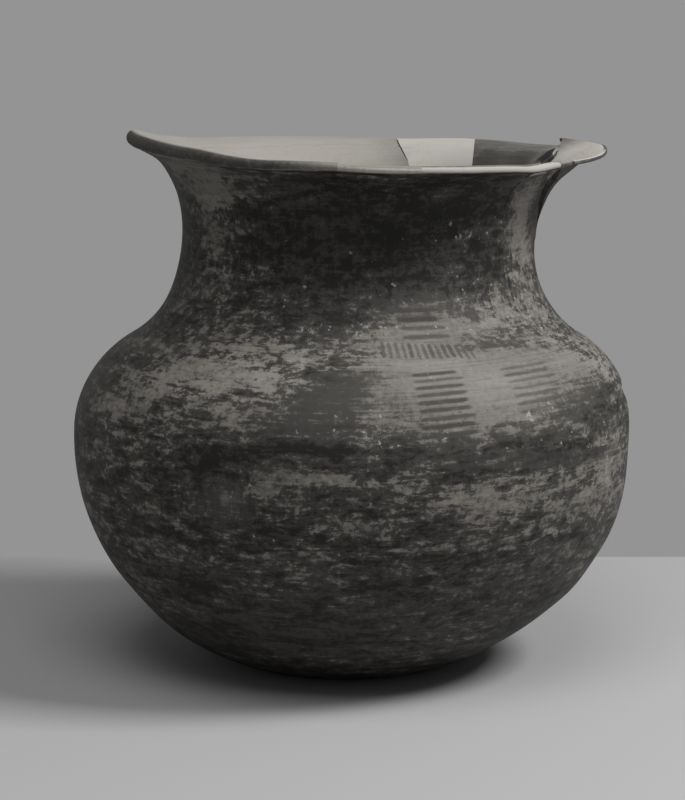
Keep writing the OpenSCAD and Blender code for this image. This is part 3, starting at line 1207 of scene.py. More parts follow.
# How worn the slip is from the base up to the lip, in millimetres along the wall
WEAR_UP = (
    (0, -1.3), (60, -1.05), (100, -0.65), (140, -0.38), (200, -0.2), (225, -0.35), (245, 0.0),
    (275, 0.2), (300, 0.0), (316, -0.45), (345, -0.8), (380, -0.6), (405, -0.35),
)
WORN = (
    Patch(165, 382, 62, 28, 0.8, 12), Patch(225, 362, 62, 18, 0.55), Patch(115, 405, 26, 26, 0.55),
    Patch(270, 385, 36, 22, 0.35), Patch(100, 345, 30, 26, -0.1, 40), Patch(165, 328, 46, 9, -0.6),
    Patch(225, 347, 50, 3.5, 0.7, 3), Patch(195, 412, 26, 16, -0.5), Patch(165, 436, 60, 9, -0.5),
    Patch(215, 460, 40, 12, -0.6), Patch(300, 361, 15, 4, 0.9, -12), Patch(304, 381, 9, 5, 0.9),
    Patch(340, 392, 44, 30, -0.35), Patch(310, 452, 70, 9, -0.6), Patch(105, 384, 10, 6, -0.7),
    Patch(470, 385, 90, 50, 1.15), Patch(565, 350, 50, 28, 0.8), Patch(480, 322, 46, 14, 0.9),
    Patch(420, 318, 34, 24, 1.0), Patch(405, 348, 60, 12, 0.8), Patch(425, 364, 56, 6, 0.7),
    Patch(608, 402, 18, 24, -0.8), Patch(590, 440, 40, 9, -0.8, 6), Patch(470, 453, 90, 7, -0.8, 4),
    Patch(605, 480, 40, 44, 1.1), Patch(480, 500, 100, 28, 0.75), Patch(530, 535, 60, 24, 0.3),
    Patch(340, 480, 80, 6, 1.0, -5), Patch(300, 500, 50, 14, 0.5), Patch(250, 540, 70, 14, -0.2),
    Patch(340, 560, 120, 50, 0.1), Patch(215, 225, 28, 60, 1.15), Patch(240, 305, 36, 24, 0.4, 50),
    Patch(258, 272, 16, 10, 0.6), Patch(523, 205, 12, 46, 2.7), Patch(525, 262, 14, 34, 1.7),
    Patch(530, 308, 30, 20, 1.1), Patch(497, 300, 24, 20, 0.8), Patch(472, 233, 12, 7, 0.8),
    Patch(370, 240, 90, 60, -0.2), Patch(298, 167, 34, 6, 2.4), Patch(370, 168, 30, 4, 2.2),
    Patch(450, 330, 90, 6, 0.35), Patch(95, 540, 16, 70, 0.6), Patch(225, 340, 120, 8, 0.2),
    Patch(350, 332, 70, 6, 0.4), Patch(205, 185, 34, 18, 1.2), Patch(175, 165, 20, 12, 0.9),
    Patch(172, 173, 4, 9, 2.4, -60), Patch(240, 172, 60, 10, 0.5), Patch(612, 450, 20, 60, 0.5),
    Patch(227, 503, 17, 16, 0.8), Patch(267, 484, 24, 13, 1.1, 15), Patch(205, 466, 36, 9, -0.5, 5),
    Patch(207, 525, 30, 4, 0.7, -16),
)
# How much more worn the slip is at the lip, by degrees from +X, and how far below the lip that starts
LIP_WORN = (
    (0, 0), (140, 0.4), (160, 1.1), (200, 1.3), (222, 0.8), (240, 0.3), (262, 1.0), (283, 1.2), (300, 0),
)
LIP_WORN_OVER = 6 * MM
# Where fine upright scratches cross the slip
SCRATCHED = (
    Patch(215, 230, 34, 60, 0.7), Patch(255, 320, 40, 26, 0.5), Patch(275, 502, 50, 20, 0.7),
    Patch(500, 298, 44, 26, 1.1), Patch(525, 230, 22, 70, 0.8), Patch(600, 480, 40, 34, 0.6),
    Patch(370, 230, 130, 60, 0.25), Patch(170, 500, 70, 50, 0.35), Patch(470, 490, 80, 30, 0.3),
)
# Where the slip is thin and even, and not broken up
EVEN = (
    Patch(96, 385, 18, 34, 0.7), Patch(300, 422, 40, 20, 0.9), Patch(345, 392, 42, 26, 0.6),
    Patch(440, 385, 88, 52, 1.2), Patch(530, 375, 60, 40, 1.1), Patch(578, 372, 24, 36, 0.9),
    Patch(422, 320, 40, 24, 0.9), Patch(370, 235, 110, 60, 0.5), Patch(92, 540, 14, 70, 0.9),
    Patch(300, 640, 160, 30, 0.6), Patch(528, 205, 12, 40, 0.7), Patch(226, 502, 21, 19, 1.4),
)
# Where small pale flakes are lost
FLECKED = (
    Patch(345, 330, 80, 7, 0.8), Patch(368, 435, 50, 26, 0.8), Patch(530, 416, 13, 9, 1.15),
    Patch(545, 402, 6, 5, 1.2), Patch(300, 372, 26, 12, 0.8), Patch(330, 280, 80, 26, 0.4),
    Patch(430, 225, 90, 30, 0.4), Patch(468, 240, 16, 12, 1.0),
    Patch(455, 290, 60, 16, 0.7), Patch(560, 440, 70, 8, 0.6), Patch(262, 335, 44, 16, 0.5),
    Patch(235, 495, 60, 20, 0.3), Patch(390, 352, 40, 8, 0.5), Patch(450, 325, 60, 8, 0.6),
    Patch(604, 470, 26, 40, 0.5),
)
# How pale the very edge of the lip is around the jar, by degrees from +X
PALE_LIP = ((0, 0), (120, 0.2), (150, 0), (250, 0.05), (262, 0.7), (285, 0.9), (300, 0.6), (330, 0.1))
# How pale the inside of the rim is around the jar, by degrees from +X
PALE_INSIDE = (
    (0, 1), (13, 0.95), (26, 0.22), (40, 0.19), (56, 0.14), (66, 0.4), (76, 0.74), (88, 1), (150, 1),
    (200, 0.9), (250, 0.6), (300, 0.45), (335, 0.9),
)
# The darker tone down the inside of the neck at the back right: where, how wide, up to which share of the
# flare, and how much
DARK_BAND_AT, DARK_BAND_WIDE, DARK_BAND_UP_TO, DARK_BAND_BY = 44, 20, 0.75, 0.5
# The dark tip of the right sherd: how dark, its half width around the jar as a sine, and how far past the
# even lip it starts
DARK_TIP, DARK_TIP_WIDE, DARK_TIP_FROM = 2.0, 0.14, 0.2 * MM
# Painted shade for the dark corner inside, where the right sherd stands clear of its neighbour: degrees,
# share of the flare
SHADED_CORNERS = ((23.0, 0.82), (15, 0.55), (11.5, 0.40), (19.5, 0.36), (21.5, 0.44), (22.5, 0.57))
# The painted shade below it: its middle and its half width and height, in the same measures
SHADED_LOW, SHADED_LOW_SIZE = (-2, 0.2), (15, 0.22)


def spread(patches: Sequence[Patch], a: Array, s: Array, level: Array | float = 0.0) -> Array:
    """Adds soft patches to an even level."""
    return sum((patch.weight(a, s) for patch in patches), level + np.zeros(len(a)))


def wear(a: Array, s: Array) -> Array:
    """Works out how worn the slip is.

    Args:
        a: The angles of places on the wall.
        s: Their distances along it.

    Returns:
        How worn the slip is at each.
    """
    near_lip = np.clip((s - JAR.lip_at) / LIP_WORN_OVER + 1, 0, 1)
    lip = near_lip * curve_through(LIP_WORN, np.degrees(a) % 360, 360)
    return spread(WORN, a, s, curve_through(WEAR_UP, s / MM) + lip)


def pale_inside(a: Array, s: Array) -> Array:
    """Works out how pale the inner face is.

    Args:
        a: The angles of places on the wall.
        s: Their distances along it.

    Returns:
        How pale it is at each, from 0 to 1.
    """
    degrees, share = np.degrees(a) % 360, flare_share(s)
    pale = curve_through(PALE_INSIDE, degrees, 360)
    dark_band = DARK_BAND_BY * np.exp(-(((degrees - DARK_BAND_AT) / DARK_BAND_WIDE) ** 4)) * (DARK_BAND_UP_TO - share)
    on_tip = (np.cos(a) > 0) * (s > SHERD.lip_at + DARK_TIP_FROM)
    tip = DARK_TIP * np.exp(-((np.sin(a) / DARK_TIP_WIDE) ** 2)) * on_tip
    return np.clip(pale - dark_band - tip, 0, 1)


def shaded(a: Array, s: Array) -> Array:
    """Finds the two places behind the right sherd where shade is painted dark.

    Args:
        a: The angles of places on the wall.
        s: Their distances along it.

    Returns:
        How much painted shade each has, from 0 to 1.
    """
    x, y = np.degrees(a) % 360, flare_share(s)
    inside = np.ones(len(a), bool)
    corners = list(SHADED_CORNERS)
    for (ax, ay), (bx, by) in zip(corners, corners[1:] + corners[:1]):
        inside &= (bx - ax) * (y - ay) - (by - ay) * (x - ax) >= 0
    turned = (x + 180) % 360 - 180
    (low_x, low_y), (wide, tall) = SHADED_LOW, SHADED_LOW_SIZE
    low = np.exp(-(((turned - low_x) / wide) ** 4) - ((y - low_y) / tall) ** 4)
    return np.maximum(inside, low)


TRAITS: dict[str, Callable[[Array, Array], Array]] = {
    "wear": wear,
    "scratched": lambda a, s: spread(SCRATCHED, a, s),
    "even": lambda a, s: np.clip(spread(EVEN, a, s), 0, 0.95),
    "flecked": lambda a, s: spread(FLECKED, a, s),
    "pale_inside": pale_inside,
    "pale_lip": lambda a, s: np.clip(curve_through(PALE_LIP, np.degrees(a) % 360, 360), 0, 1),
    "shaded": shaded,
}


@dataclass(frozen=True)
class Ladder:
    """A painted ladder of short parallel bars, or a single stroke.

    Attributes:
        first: Left end x, y and right end x, y of the first bar in the picture.
        last: The same of the last bar.
        bars: How many bars there are.
        stroke: Width of a bar as a share of the distance between two.
        ink: How dense the paint is.
        wander: How far a bar wanders, as a share of the same.
        shift: How far the bars differ along their length, as a share of half of it.
        tips: Where a bar's tip begins and ends, as shares of half its length.
        tip_shift: How far the tips differ.
        narrow: By how much a bar narrows to its ends, and between which shares.
        soft: How soft a bar's edge is, as a share of the distance between two.
        worn: Between which levels of the noise the paint is worn to half.
    """

    first: tuple[float, float, float, float]
    last: tuple[float, float, float, float]
    bars: int
    stroke: float = 0.5
    ink: float = 0.8
    wander: float = 0.17
    shift: float = 0.16
    tips: tuple[float, float] = (0.86, 1.08)
    tip_shift: float = 0.12
    narrow: tuple[float, float, float] = (0.35, 0.55, 1.1)
    soft: float = 0.1
    worn: tuple[float, float] = (-0.75, 0.1)

    def mark(self, board: Board, across: Wire, along: Wire) -> Wire:
        """Adds the ladder to a material.

        Args:
            board: The material's tree.
            across: The distance around the drum from the front.
            along: The distance along the wall.

        Returns:
            The paint's density.
        """
        corners = []
        for x0, y0, x1, y1 in (self.first, self.last):
            for x, y in ((x0, y0), (x1, y1)):
                a, s = VIEW.on_wall(x, y)
                corners.append(np.array([DRUM_R * (a - FRONT), s]))
        top_l, top_r, low_l, low_r = corners
        steps = max(self.bars - 1, 1)
        middle = sum(corners) / 4
        half = (top_r - top_l + low_r - low_l) / 4
        pitch = (low_l + low_r - top_l - top_r) / 2 / steps
        widen = (np.linalg.norm(low_r - low_l) / np.linalg.norm(top_r - top_l) - 1) / steps
        turn = np.linalg.inv(np.stack([half, pitch], 1))
        dx, dy = across - float(middle[0]), along - float(middle[1])
        u = dx * float(turn[0, 0]) + dy * float(turn[0, 1])
        v = dx * float(turn[1, 0]) + dy * float(turn[1, 1])
        grain = board.vector(dx, dy, 0.0)
        v = v + board.noise(grain, scale=110.0, detail=4.0, rough=0.6, seed=self.bars) * self.wander
        index = (v + steps / 2 + 0.5).maths("FLOOR")
        line = (v + steps / 2 + 0.5 - index - 0.5).size()
        each = board.wire(
            "ShaderNodeTexWhiteNoise", {"noise_dimensions": "1D"}, {"W": index + 7.0 * self.bars}
        )
        u = (u / (v * float(widen) + 1.0)) + (each - 0.5) * self.shift
        ends = 1.0 - (u.size() + (each - 0.5) * self.tip_shift).step(*self.tips)
        lost, start, end = self.narrow
        width = self.stroke / 2 * (each * 0.3 + 0.85) * (1.0 - u.size().step(start, end) * lost)
        bar = 1.0 - ((line - width) / self.soft).between(-1.2, 1.0)
        held = index.step(-0.6, -0.4) * (1.0 - index.step(self.bars - 0.6, self.bars - 0.4))
        patchy = board.noise(grain, scale=260.0, detail=3.0, rough=0.6, seed=3.0)
        left = patchy.step(*self.worn) * 0.5 + 0.5
        return bar * ends * held * left * (each * 0.35 + 0.65) * self.ink


LADDERS = (
    Ladder((394, 301, 434, 299), (402, 337, 448, 336), 5, 0.6, 1.0),
    Ladder((380, 341, 386, 358), (468, 345, 474, 358), 14, 0.6, 0.8),
    Ladder((411, 376, 458, 371), (423, 446, 484, 440), 10, 0.54, 0.95),
    Ladder((499, 370, 545, 362), (520, 412, 566, 404), 7, 0.5, 0.75),
    Ladder((520, 424, 585, 412), (524, 440, 600, 428), 3, 0.45, 0.4),
    Ladder((300, 375, 376, 374), (306, 408, 380, 406), 4, 0.5, 0.5),
    Ladder((432, 458, 628, 441), (434, 465, 628, 448), 2, 0.85, 0.6),
)


# Finishes


def darker(colour: Colour, share: float) -> Colour:
    """A colour at a share of its brightness."""
    red, green, blue = colour
    return red * share, green * share, blue * share


@dataclass(frozen=True)
class Finish:
    """A matt finish on the wall.

    Attributes:
        name: The material's name.
        gloss: Its specular level.
        bump: How strong its relief is.
        height: How high its relief stands.
    """

    name: str
    gloss: float = 0.2
    bump: float = 0.5
    height: float = 0.6 * MM

    def surface(self, board: Board) -> tuple[Wire, Wire, Wire]:
        """Works out the colour, the roughness and the relief."""
        raise NotImplementedError

    def material(self) -> bpy.types.Material:
        """Builds the material.

        Returns:
            The material.
        """
        made = bpy.data.materials.new(self.name)
        made.use_nodes = True
        board = Board(made.node_tree)
        colour, rough, relief = self.surface(board)
        heights = {"Strength": self.bump, "Distance": self.height, "Height": relief}
        shader = board.add("ShaderNodeBsdfPrincipled", {}, {
            "Base Color": colour, "Roughness": rough, "Specular IOR Level": self.gloss,
            "Normal": board.wire("ShaderNodeBump", {}, heights),
        })
        board.add("ShaderNodeOutputMaterial", {}, {0: shader.outputs[0]})
        return made


@dataclass(frozen=True)
class WornSlip(Finish):
    """Dark slip over buff clay, streaked around the jar, rubbed through and scratched.

    Attributes:
        painted: Whether the ladders are on it.
        slip: The slip where it lies thick.
        slip_thin: The slip where it lies thin.
        clay: The worn clay.
        clay_pale: Fresh chips.
        paint: The ladders' paint.
        core: The clay on a broken edge.
        inside_dark: The inner face where it is dark.
        inside_pale: The inner face where it is clean.
        painted_gap_shade: Painted shade for the darkest corner inside, where the right sherd stands clear of
            its neighbour.
        inner_from: The share of the way through the wall at which the inner face's colour starts.
        stained: The share of its colour that the clay keeps where it is darkest.
    """

    painted: bool = False
    slip: Colour = (0.0165, 0.0154, 0.0141)
    slip_thin: Colour = (0.055, 0.0511, 0.0467)
    clay: Colour = (0.25, 0.234, 0.213)
    clay_pale: Colour = (0.36, 0.341, 0.314)
    paint: Colour = (0.052, 0.048, 0.044)
    core: Colour = (0.062, 0.057, 0.052)
    inside_dark: Colour = (0.055, 0.051, 0.047)
    inside_pale: Colour = (0.33, 0.312, 0.285)
    painted_gap_shade: Colour = (0.012, 0.0112, 0.0103)
    inner_from: float = 0.9
    stained: float = 0.3

    def ladders(self, board: Board, drum: Wire) -> Wire:
        """Adds the painted ladders.

        Args:
            board: The material's tree.
            drum: The place on the drum.

        Returns:
            The paint's density.
        """
        x, y, s = board.parts(drum)
        across = x.maths("ARCTAN2", -y) * DRUM_R
        first, *others = (ladder.mark(board, across, s) for ladder in LADDERS)
        return reduce(Wire.high, others, first)

    def surface(self, board: Board) -> tuple[Wire, Wire, Wire]:
        """Works out the colour, the roughness and the relief.

        Args:
            board: The material's tree.

        Returns:
            The colour, the roughness and the relief.
        """
        trait, drum = board.attribute, board.attribute("drum", "Vector")
        place = board.wire("ShaderNodeTexCoord", {}, {}, "Object")
        worn, depth, loose = trait("wear"), trait("depth"), 1.0 - trait("even") * 0.85

        # Wear of every size: long streaks, torn edges, crumbs, upright scratches, brush marks and clouds
        streak = board.noise(
            board.stretch(drum, (1, 1, 3.6)), scale=30.0, detail=8.0, rough=0.66, seed=1.0, warp=0.3
        )
        tatter = board.noise(
            board.stretch(drum, (1, 1, 1.5)), scale=135.0, detail=6.0, rough=0.72, seed=4.0, warp=0.6
        )
        crumb = board.noise(place, scale=360.0, detail=5.0, rough=0.74, seed=6.0)
        scratch = board.noise(board.stretch(drum, (8, 8, 0.6)), scale=50.0, detail=5.0, rough=0.66, seed=9.0)
        brush = board.noise(board.stretch(drum, (1, 1, 16)), scale=44.0, detail=5.0, rough=0.6, seed=11.0)
        cloud = board.noise(board.stretch(drum, (1, 1, 1.6)), scale=11.0, detail=3.0, rough=0.5, seed=15.0)
        grain = board.noise(place, scale=260.0, detail=4.0, rough=0.62, seed=21.0)

        # How far the slip is rubbed, and from there how bare the clay is, how thin the slip and how pale
        rubbed = (
            worn * 0.55 + loose * (streak * 1.9 + tatter * 2.5 + crumb * 0.85) + crumb * 0.22 + brush * 0.45
            + scratch * (trait("scratched") * 1.4 + 0.15) + cloud * 0.35
        )
        bare = rubbed.step(0.05, 0.42)
        thin = rubbed.step(-0.75, 0.0)
        tone = (
            worn * 0.4 + cloud * 0.7 + loose * (tatter * 1.7 + crumb * 0.9) + crumb * 0.4 + brush * 0.6
        ).step(-0.5, 1.0)
        chips = (grain + trait("flecked") * 0.2 + rubbed * 0.08).step(0.35, 0.45)
        dots = (tatter * 0.6 - grain - worn * 0.08).step(0.27, 0.36)

        clay = board.mix(tone, darker(self.clay, self.stained), self.clay)
        colour = board.mix(thin, self.slip, self.slip_thin)
        colour = board.mix(bare * (1.0 - dots * 0.8), colour, clay)
        colour = board.mix(chips * 0.75, colour, self.clay_pale)
        if self.painted:
            colour = board.mix(self.ladders(board, drum) * (1.0 - chips), colour, self.paint)

        # The broken edge, and the inner face behind it, with painted shade where the right sherd stands
        # clear
        inner = depth.step(self.inner_from, self.inner_from + 0.09)
        edge = depth.step(0.04, 0.12) * (1.0 - inner)
        edge_pale = (trait("pale_lip") + crumb * 0.5).between(0.0, 1.0)
        colour = board.mix(edge * 0.85, colour, board.mix(edge_pale, self.core, self.inside_pale))
        pale = (trait("pale_inside") + streak * 0.3 + cloud * 0.15 + brush * 0.15).between(0.0, 1.1)
        inside = board.mix(pale, self.inside_dark, self.inside_pale)
        # Painted shade: the dark corners behind the right sherd take the darkest colour
        inside = board.mix(trait("shaded"), inside, self.painted_gap_shade)
        colour = board.mix(inner, colour, inside)

        relief = bare * -0.25 + crumb * 0.2 + scratch * 0.12 + brush * 0.12 - chips * 0.4
        return colour, 0.6 + bare * 0.22 + crumb * 0.05, relief


@dataclass(frozen=True)
class Plaster(Finish):
    """Cast or smoothed plaster, with fine pits, stains and trowel marks.

    Attributes:
        body: Its colour.
        stain: The colour of its stains.
        outside: The slip that it is toned with on the outside.
        stained: How much of it is stained, from -1 to 1.
        pitted: The share of the stains' colour that the pits have.
        lip_stain: How much of the lip is stained.
    """

    gloss: float = 0.3
    bump: float = 0.4
    height: float = 0.5 * MM
    body: Colour = (0.44, 0.423, 0.392)
    stain: Colour = (0.31, 0.295, 0.271)
    outside: Colour = (0.03, 0.0279, 0.0255)
    stained: float = -0.2
    pitted: float = 0.35
    lip_stain: float = 0.7

    def surface(self, board: Board) -> tuple[Wire, Wire, Wire]:
        """Works out the colour, the roughness and the relief.

        Args:
            board: The material's tree.

        Returns:
            The colour, the roughness and the relief.
        """
        drum, depth = board.attribute("drum", "Vector"), board.attribute("depth")
        place = board.wire("ShaderNodeTexCoord", {}, {}, "Object")
        cloud = board.noise(board.stretch(drum, (1, 1, 1.5)), scale=30.0, detail=5.0, rough=0.6, seed=2.0)
        fine = board.noise(place, scale=320.0, detail=4.0, rough=0.6, seed=5.0)
        trowel = board.noise(board.stretch(drum, (1, 1, 9)), scale=45.0, detail=3.0, rough=0.55, seed=8.0)
        pits = board.noise(place, scale=520.0, detail=2.0, rough=0.5, seed=12.0).step(0.42, 0.6)
        stain = (cloud * 0.8 + trowel * 0.3 + fine * 0.15 + self.stained).step(-0.25, 0.6)
        colour = board.mix(stain, self.body, self.stain)
        colour = board.mix(pits * 0.5, colour, darker(self.stain, self.pitted))
        past_edge = (depth + trowel * 0.12 + fine * 0.1 - 0.04).step(0.0, 0.3)
        on_lip = past_edge * (1.0 - depth.step(0.88, 0.98))
        colour = board.mix(past_edge, self.outside, colour)
        colour = board.mix(on_lip * self.lip_stain, colour, self.stain)
        return colour, 0.78 + fine * 0.06, trowel * 0.3 + fine * 0.2 - pits * 0.6


# The mended jar


class Mend(Enum):
    """What a piece of the jar is made of, by the name of its slot."""

    SHERD = "slipped_sherd"
    BUFF = "buff_sherd"
    WHITE = "white_plaster"
    TONED = "toned_plaster"
    BODY = "slipped_clay"


FINISHES: dict[Mend, Finish] = {
    Mend.BODY: WornSlip("slipped_clay", painted=True),
    Mend.SHERD: WornSlip(
        "slipped_sherd", core=(0.06, 0.0558, 0.051), inside_pale=(0.5, 0.473, 0.432), inner_from=0.65
    ),
    Mend.BUFF: WornSlip("buff_sherd", core=(0.3, 0.284, 0.259)),
    Mend.WHITE: Plaster("white_plaster"),
    Mend.TONED: WornSlip("toned_plaster", slip=(0.026, 0.0242, 0.0221), clay=(0.2, 0.186, 0.17)),
}


def swelling(degrees: float, height: float, across: float, along: float, out: float) -> Lump:
    """Makes a soft swelling or dent of the wall.

    Args:
        degrees: Its angle from +X.
        height: Its height in millimetres.
        across: Its half width around the jar, in millimetres.
        along: Its half width along the wall, in millimetres.
        out: How far it stands out, in millimetres, or how deep it is if negative.

    Returns:
        The swelling.
    """
    at = (math.radians(degrees), JAR.at_height(height * MM))
    return Lump(at, across * MM, along * MM, out * MM)


def chip(px: float, py: float, across: float, along: float, out: float) -> Lump:
    """Makes a sharp chip.

    Args:
        px: Its column in the picture.
        py: Its row in the picture.
        across: Its half width around the jar, in millimetres.
        along: Its half width along the wall, in millimetres.
        out: How far it stands out, in millimetres, which is negative.

    Returns:
        The chip.
    """
    return Lump(VIEW.on_wall(px, py), across * MM, along * MM, out * MM, True)


@dataclass
class Plug:
    """The round fill in the bowl, which goes through the wall.

    Attributes:
        z: Height of its middle.
        at: The angle at which it is.
        r: Its radius.
        rim: How far inside its edge the last ring but one lies.
        rings: Rings of points on each face, with the middle.
        around: Points of each ring.
        cut_around: Sides of the hole that is cut for it.
        cut: How far from the jar's axis the cut starts and ends.
    """

    z: float = 112 * MM
    at: float = math.radians(245)
    r: float = 10 * MM
    rim: float = 0.3 * MM
    rings: int = 9
    around: int = 72
    cut_around: int = 96
    cut: tuple[float, float] = (0.05, 0.25)

    def pattern(self, gap: float) -> Pattern:
        """Lays the plug out flat.

        Args:
            gap: The glue line around it.

        Returns:
            The flat pattern.
        """
        s_all, r_all, z_all = JAR.table(JAR.flat_r, JAR.reach(BOWL), count=2000)
        t = np.linspace(0, TURN, self.around, endpoint=False)[None, :]
        rho = np.append(np.linspace(0, self.r - self.rim, self.rings - 1)[1:], self.r - gap)[:, None]
        rho = np.concatenate([rho, rho[::-1]])
        depth = np.repeat([[0.0], [1.0]], self.rings - 1, 0) + 0 * t
        s = np.interp(self.z + rho * np.sin(t), z_all, s_all)
        a = self.at + np.arcsin(rho * np.cos(t) / np.interp(s, s_all, r_all))
        middle = [self.at, float(np.interp(self.z, z_all, s_all))]
        points = np.concatenate([
            np.stack([a, s, depth], -1).reshape(-1, 3), [[*middle, 0.0], [*middle, 1.0]],
        ])
        faces = grid_faces(len(rho), self.around, False)
        outside, inside = len(points) - 2, len(points) - 1
        last = (len(rho) - 1) * self.around
        for c in range(self.around):
            d = (c + 1) % self.around
            faces += [(outside, c, d), (inside, last + d, last + c)]
        return Pattern(points, faces)

    def cut_hole(self, body: bpy.types.Object) -> None:
        """Cuts the plug's hole through the wall.

        Args:
            body: The piece that it is cut through.
        """
        n = self.cut_around
        ring = np.linspace(0, TURN, n, endpoint=False)
        ends = [(x, self.r * math.cos(t), self.r * math.sin(t)) for x in self.cut for t in ring]
        sides = [(i, (i + 1) % n, n + (i + 1) % n, n + i) for i in range(n)]
        drill = bpy.data.meshes.new("drill")
        drill.from_pydata(ends, [], [tuple(range(n))[::-1], tuple(range(n, 2 * n)), *sides])
        place = Matrix.Translation(((self.z - JAR.belly_z) * JAR.lean, 0, self.z))
        drill.transform(place @ Matrix.Rotation(self.at, 4, "Z"))
        tool = into_scene("drill", drill)
        hole = body.modifiers.new("hole", "BOOLEAN")
        hole.object, hole.operation, hole.solver = tool, "DIFFERENCE", "MANIFOLD"
        done = plain_mesh(body)
        body.modifiers.clear()
        done.set_sharp_from_angle(angle=SHARP_TURN)
        body.data = done
        bpy.data.objects.remove(tool)


@dataclass
class Jar:
    """The whole jar: its body, the pieces of the rim and the plug in the bowl.

    Attributes:
        wheel: The tree that throws every piece.
        finishes: The material of each kind of piece.
        gap: Half the width of the glue line between two pieces.
        left_fill: Where the left fill begins and ends, in degrees.
        front_sherd: Where the front sherd does.
        front_fill: Where the white fill beside it does.
        notch_corner: The corner of the break at which the white fills meet the right sherd's notch, in
            degrees.
        fill_lip: Thickness of the white fills at the lip.
        sections: How many sections a stretch of the rim has for each degree, and at least.
        sherd_worn: How much is worn off the outside of the right sherd, below its lip.
        sherd_dent: The dent in the right sherd's lower end.
        lumps: What swells or is lost on the body.
        plug: The plug.
    """

    wheel: Wheel
    finishes: dict[Mend, bpy.types.Material]
    gap: float = 0.05 * MM
    left_fill: tuple[float, float] = (144, 264)
    front_sherd: tuple[float, float] = (264, 283)
    front_fill: tuple[float, float] = (283, 293)
    notch_corner: float = 324
    fill_lip: float = 2.9 * MM
    sections: tuple[float, int] = (1.6, 8)
    sherd_worn: float = 2.2 * MM
    sherd_dent: Lump = swelling(0, 236, 40, 13, -1.9)
    lumps: tuple[Lump, ...] = (
        Lump((math.radians(345), 0.135), 70 * MM, 34 * MM, 1.4 * MM),
        swelling(352, 76, 60, 25, 2.4), swelling(0, 132, 60, 17, -1.6), swelling(180, 41, 45, 20, -2.3),
        swelling(180, 66, 45, 18, -0.5), swelling(180, 215, 45, 20, 1.7), swelling(352, 47, 50, 13, 1.1),
        swelling(352, 115, 40, 10, -0.6), replace(swelling(353.5, 148, 28, 7, -1.7), sharp=True),
        chip(532, 414, 5, 3, -0.7), chip(545, 402, 3, 2, -0.5), chip(306, 370, 4, 3.5, -0.6),
    )
    plug: Plug = field(default_factory=Plug)

    def piece(self, pattern: Pattern, name: str, mend: Mend, outline: Outline = JAR,
              set_out: float = 0.0, tilt: float = 0.0, let_in: Plug | None = None) -> None:
        """Throws one piece, in place of the solid of the same name.

        Args:
            pattern: Its flat pattern.
            name: The solid that it stands for.
            mend: What it is made of.
            outline: The outline that it follows.
            set_out: How far it stands out along +X.
            tilt: How far it is tilted about X, in radians.
            let_in: The plug that is let into it, if there is one.
        """
        made = self.wheel.throw(pattern, name + "_ware", outline, self.finishes[mend], set_out, tilt)
        if let_in:
            let_in.cut_hole(made)
        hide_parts(name)
        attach(made, "root")

    def stretch(self, name: str, mend: Mend, first: float, last: float,
                swell: Callable[[Array], Array] = np.zeros_like, outline: Outline = JAR) -> None:
        """Makes a stretch of the rim between two angles in degrees.

        Args:
            name: The solid that it stands for.
            mend: What it is made of.
            first: The angle of its first end.
            last: The angle of its other end.
            swell: How much thicker than the wall its lip is around the jar.
            outline: The outline that it follows.
        """
        a, b = math.radians(first), math.radians(last)
        for_each_degree, at_least = self.sections
        patch = RimPatch(
            outline, lambda s: a + self.gap / RIM_R + 0 * s, lambda s: b - self.gap / RIM_R + 0 * s,
            BREAK.along, max(at_least, int((last - first) * for_each_degree)), swell=swell,
        )
        self.piece(patch.pattern(), name, mend, outline)

    @staticmethod
    def at_x(x: float | Array, s: Array) -> Array:
        """The angle at the back at which the wall reaches a place across."""
        return np.arccos(np.clip(x / JAR.at(s)[0], -1, 1))

    @staticmethod
    def panel_left(s: Array) -> Array:
        """Where the panel's slanted left edge is, across, at each distance along the wall."""
        across, down = zip(*PANEL_NOTCH.corners[:3])
        return np.interp(RIM_Z - JAR.at(s)[1], down, across)

    @staticmethod
    def sherd_back(s: Array) -> Array:
        """Follows the right sherd's slanted back edge, on the wall of its neighbour.

        Args:
            s: Distances along the neighbour's wall.

        Returns:
            The angle of the edge at each.
        """
        across, down = zip(*SHERD_NOTCH.corners[-2:])
        r, z = JAR.at(s)
        y = np.full(np.shape(s), across[1])
        for _ in range(9):
            y = np.interp(RIM_Z - z + y * math.sin(SHERD_TILT), down[::-1], across[::-1])
        return np.arcsin(np.clip((y + BREAK.gap) / r, -1, 1))

    @staticmethod
    def notch_floor(outline: Outline, notch: Notch) -> Callable[[Array, Array], Array]:
        """The floor of a notch.

        Args:
            outline: The outline of the piece in the notch.
            notch: The notch.

        Returns:
            What gives the distance along the wall to the floor below each angle and distance.
        """
        s_all, _, z_all = outline.table(outline.reach(SHOULDER), outline.lip_at, count=1500)

        def floor(around: Array, s: Array) -> Array:
            """Distance along the wall to the floor."""
            across = outline.at(s)[0] * (np.sin(around) if notch.axis else np.cos(around))
            return np.interp(RIM_Z - notch.depth(across), z_all, s_all)

        return floor

    def rim_sherd(self) -> None:
        """Makes the big sherd on the right, whose point runs down the neck."""

        def side(reach: float, s: Array) -> Array:
            """The angle at which the sherd's wall reaches a place along Y."""
            return np.arcsin(np.clip(reach / SHERD.at(s)[0], -1, 1))

        patch = RimPatch(
            SHERD, lambda s: -side(SHERD_FRONT, s), lambda s: side(SHERD_BACK, s),
            self.notch_floor(SHERD, SHERD_NOTCH), columns=120, rows=34, swell=tip_swell,
            thinned=self.sherd_worn, lumps=(self.sherd_dent,), level=True,
        )
        self.piece(patch.pattern(), "rim_right_sherd", Mend.SHERD, SHERD, SHERD_SET, SHERD_TILT)

    def rim_back(self) -> None:
        """Makes the three pieces at the back, with the white panel between two sherds."""
        last = math.radians(self.left_fill[0])
        corner = JAR.at(np.array(JAR.at_height(RIM_Z - PANEL_NOTCH.corners[-1][1])))[0]
        s_all, r_all, _ = JAR.table(JAR.flare_from, JAR.lip_at, count=1500)

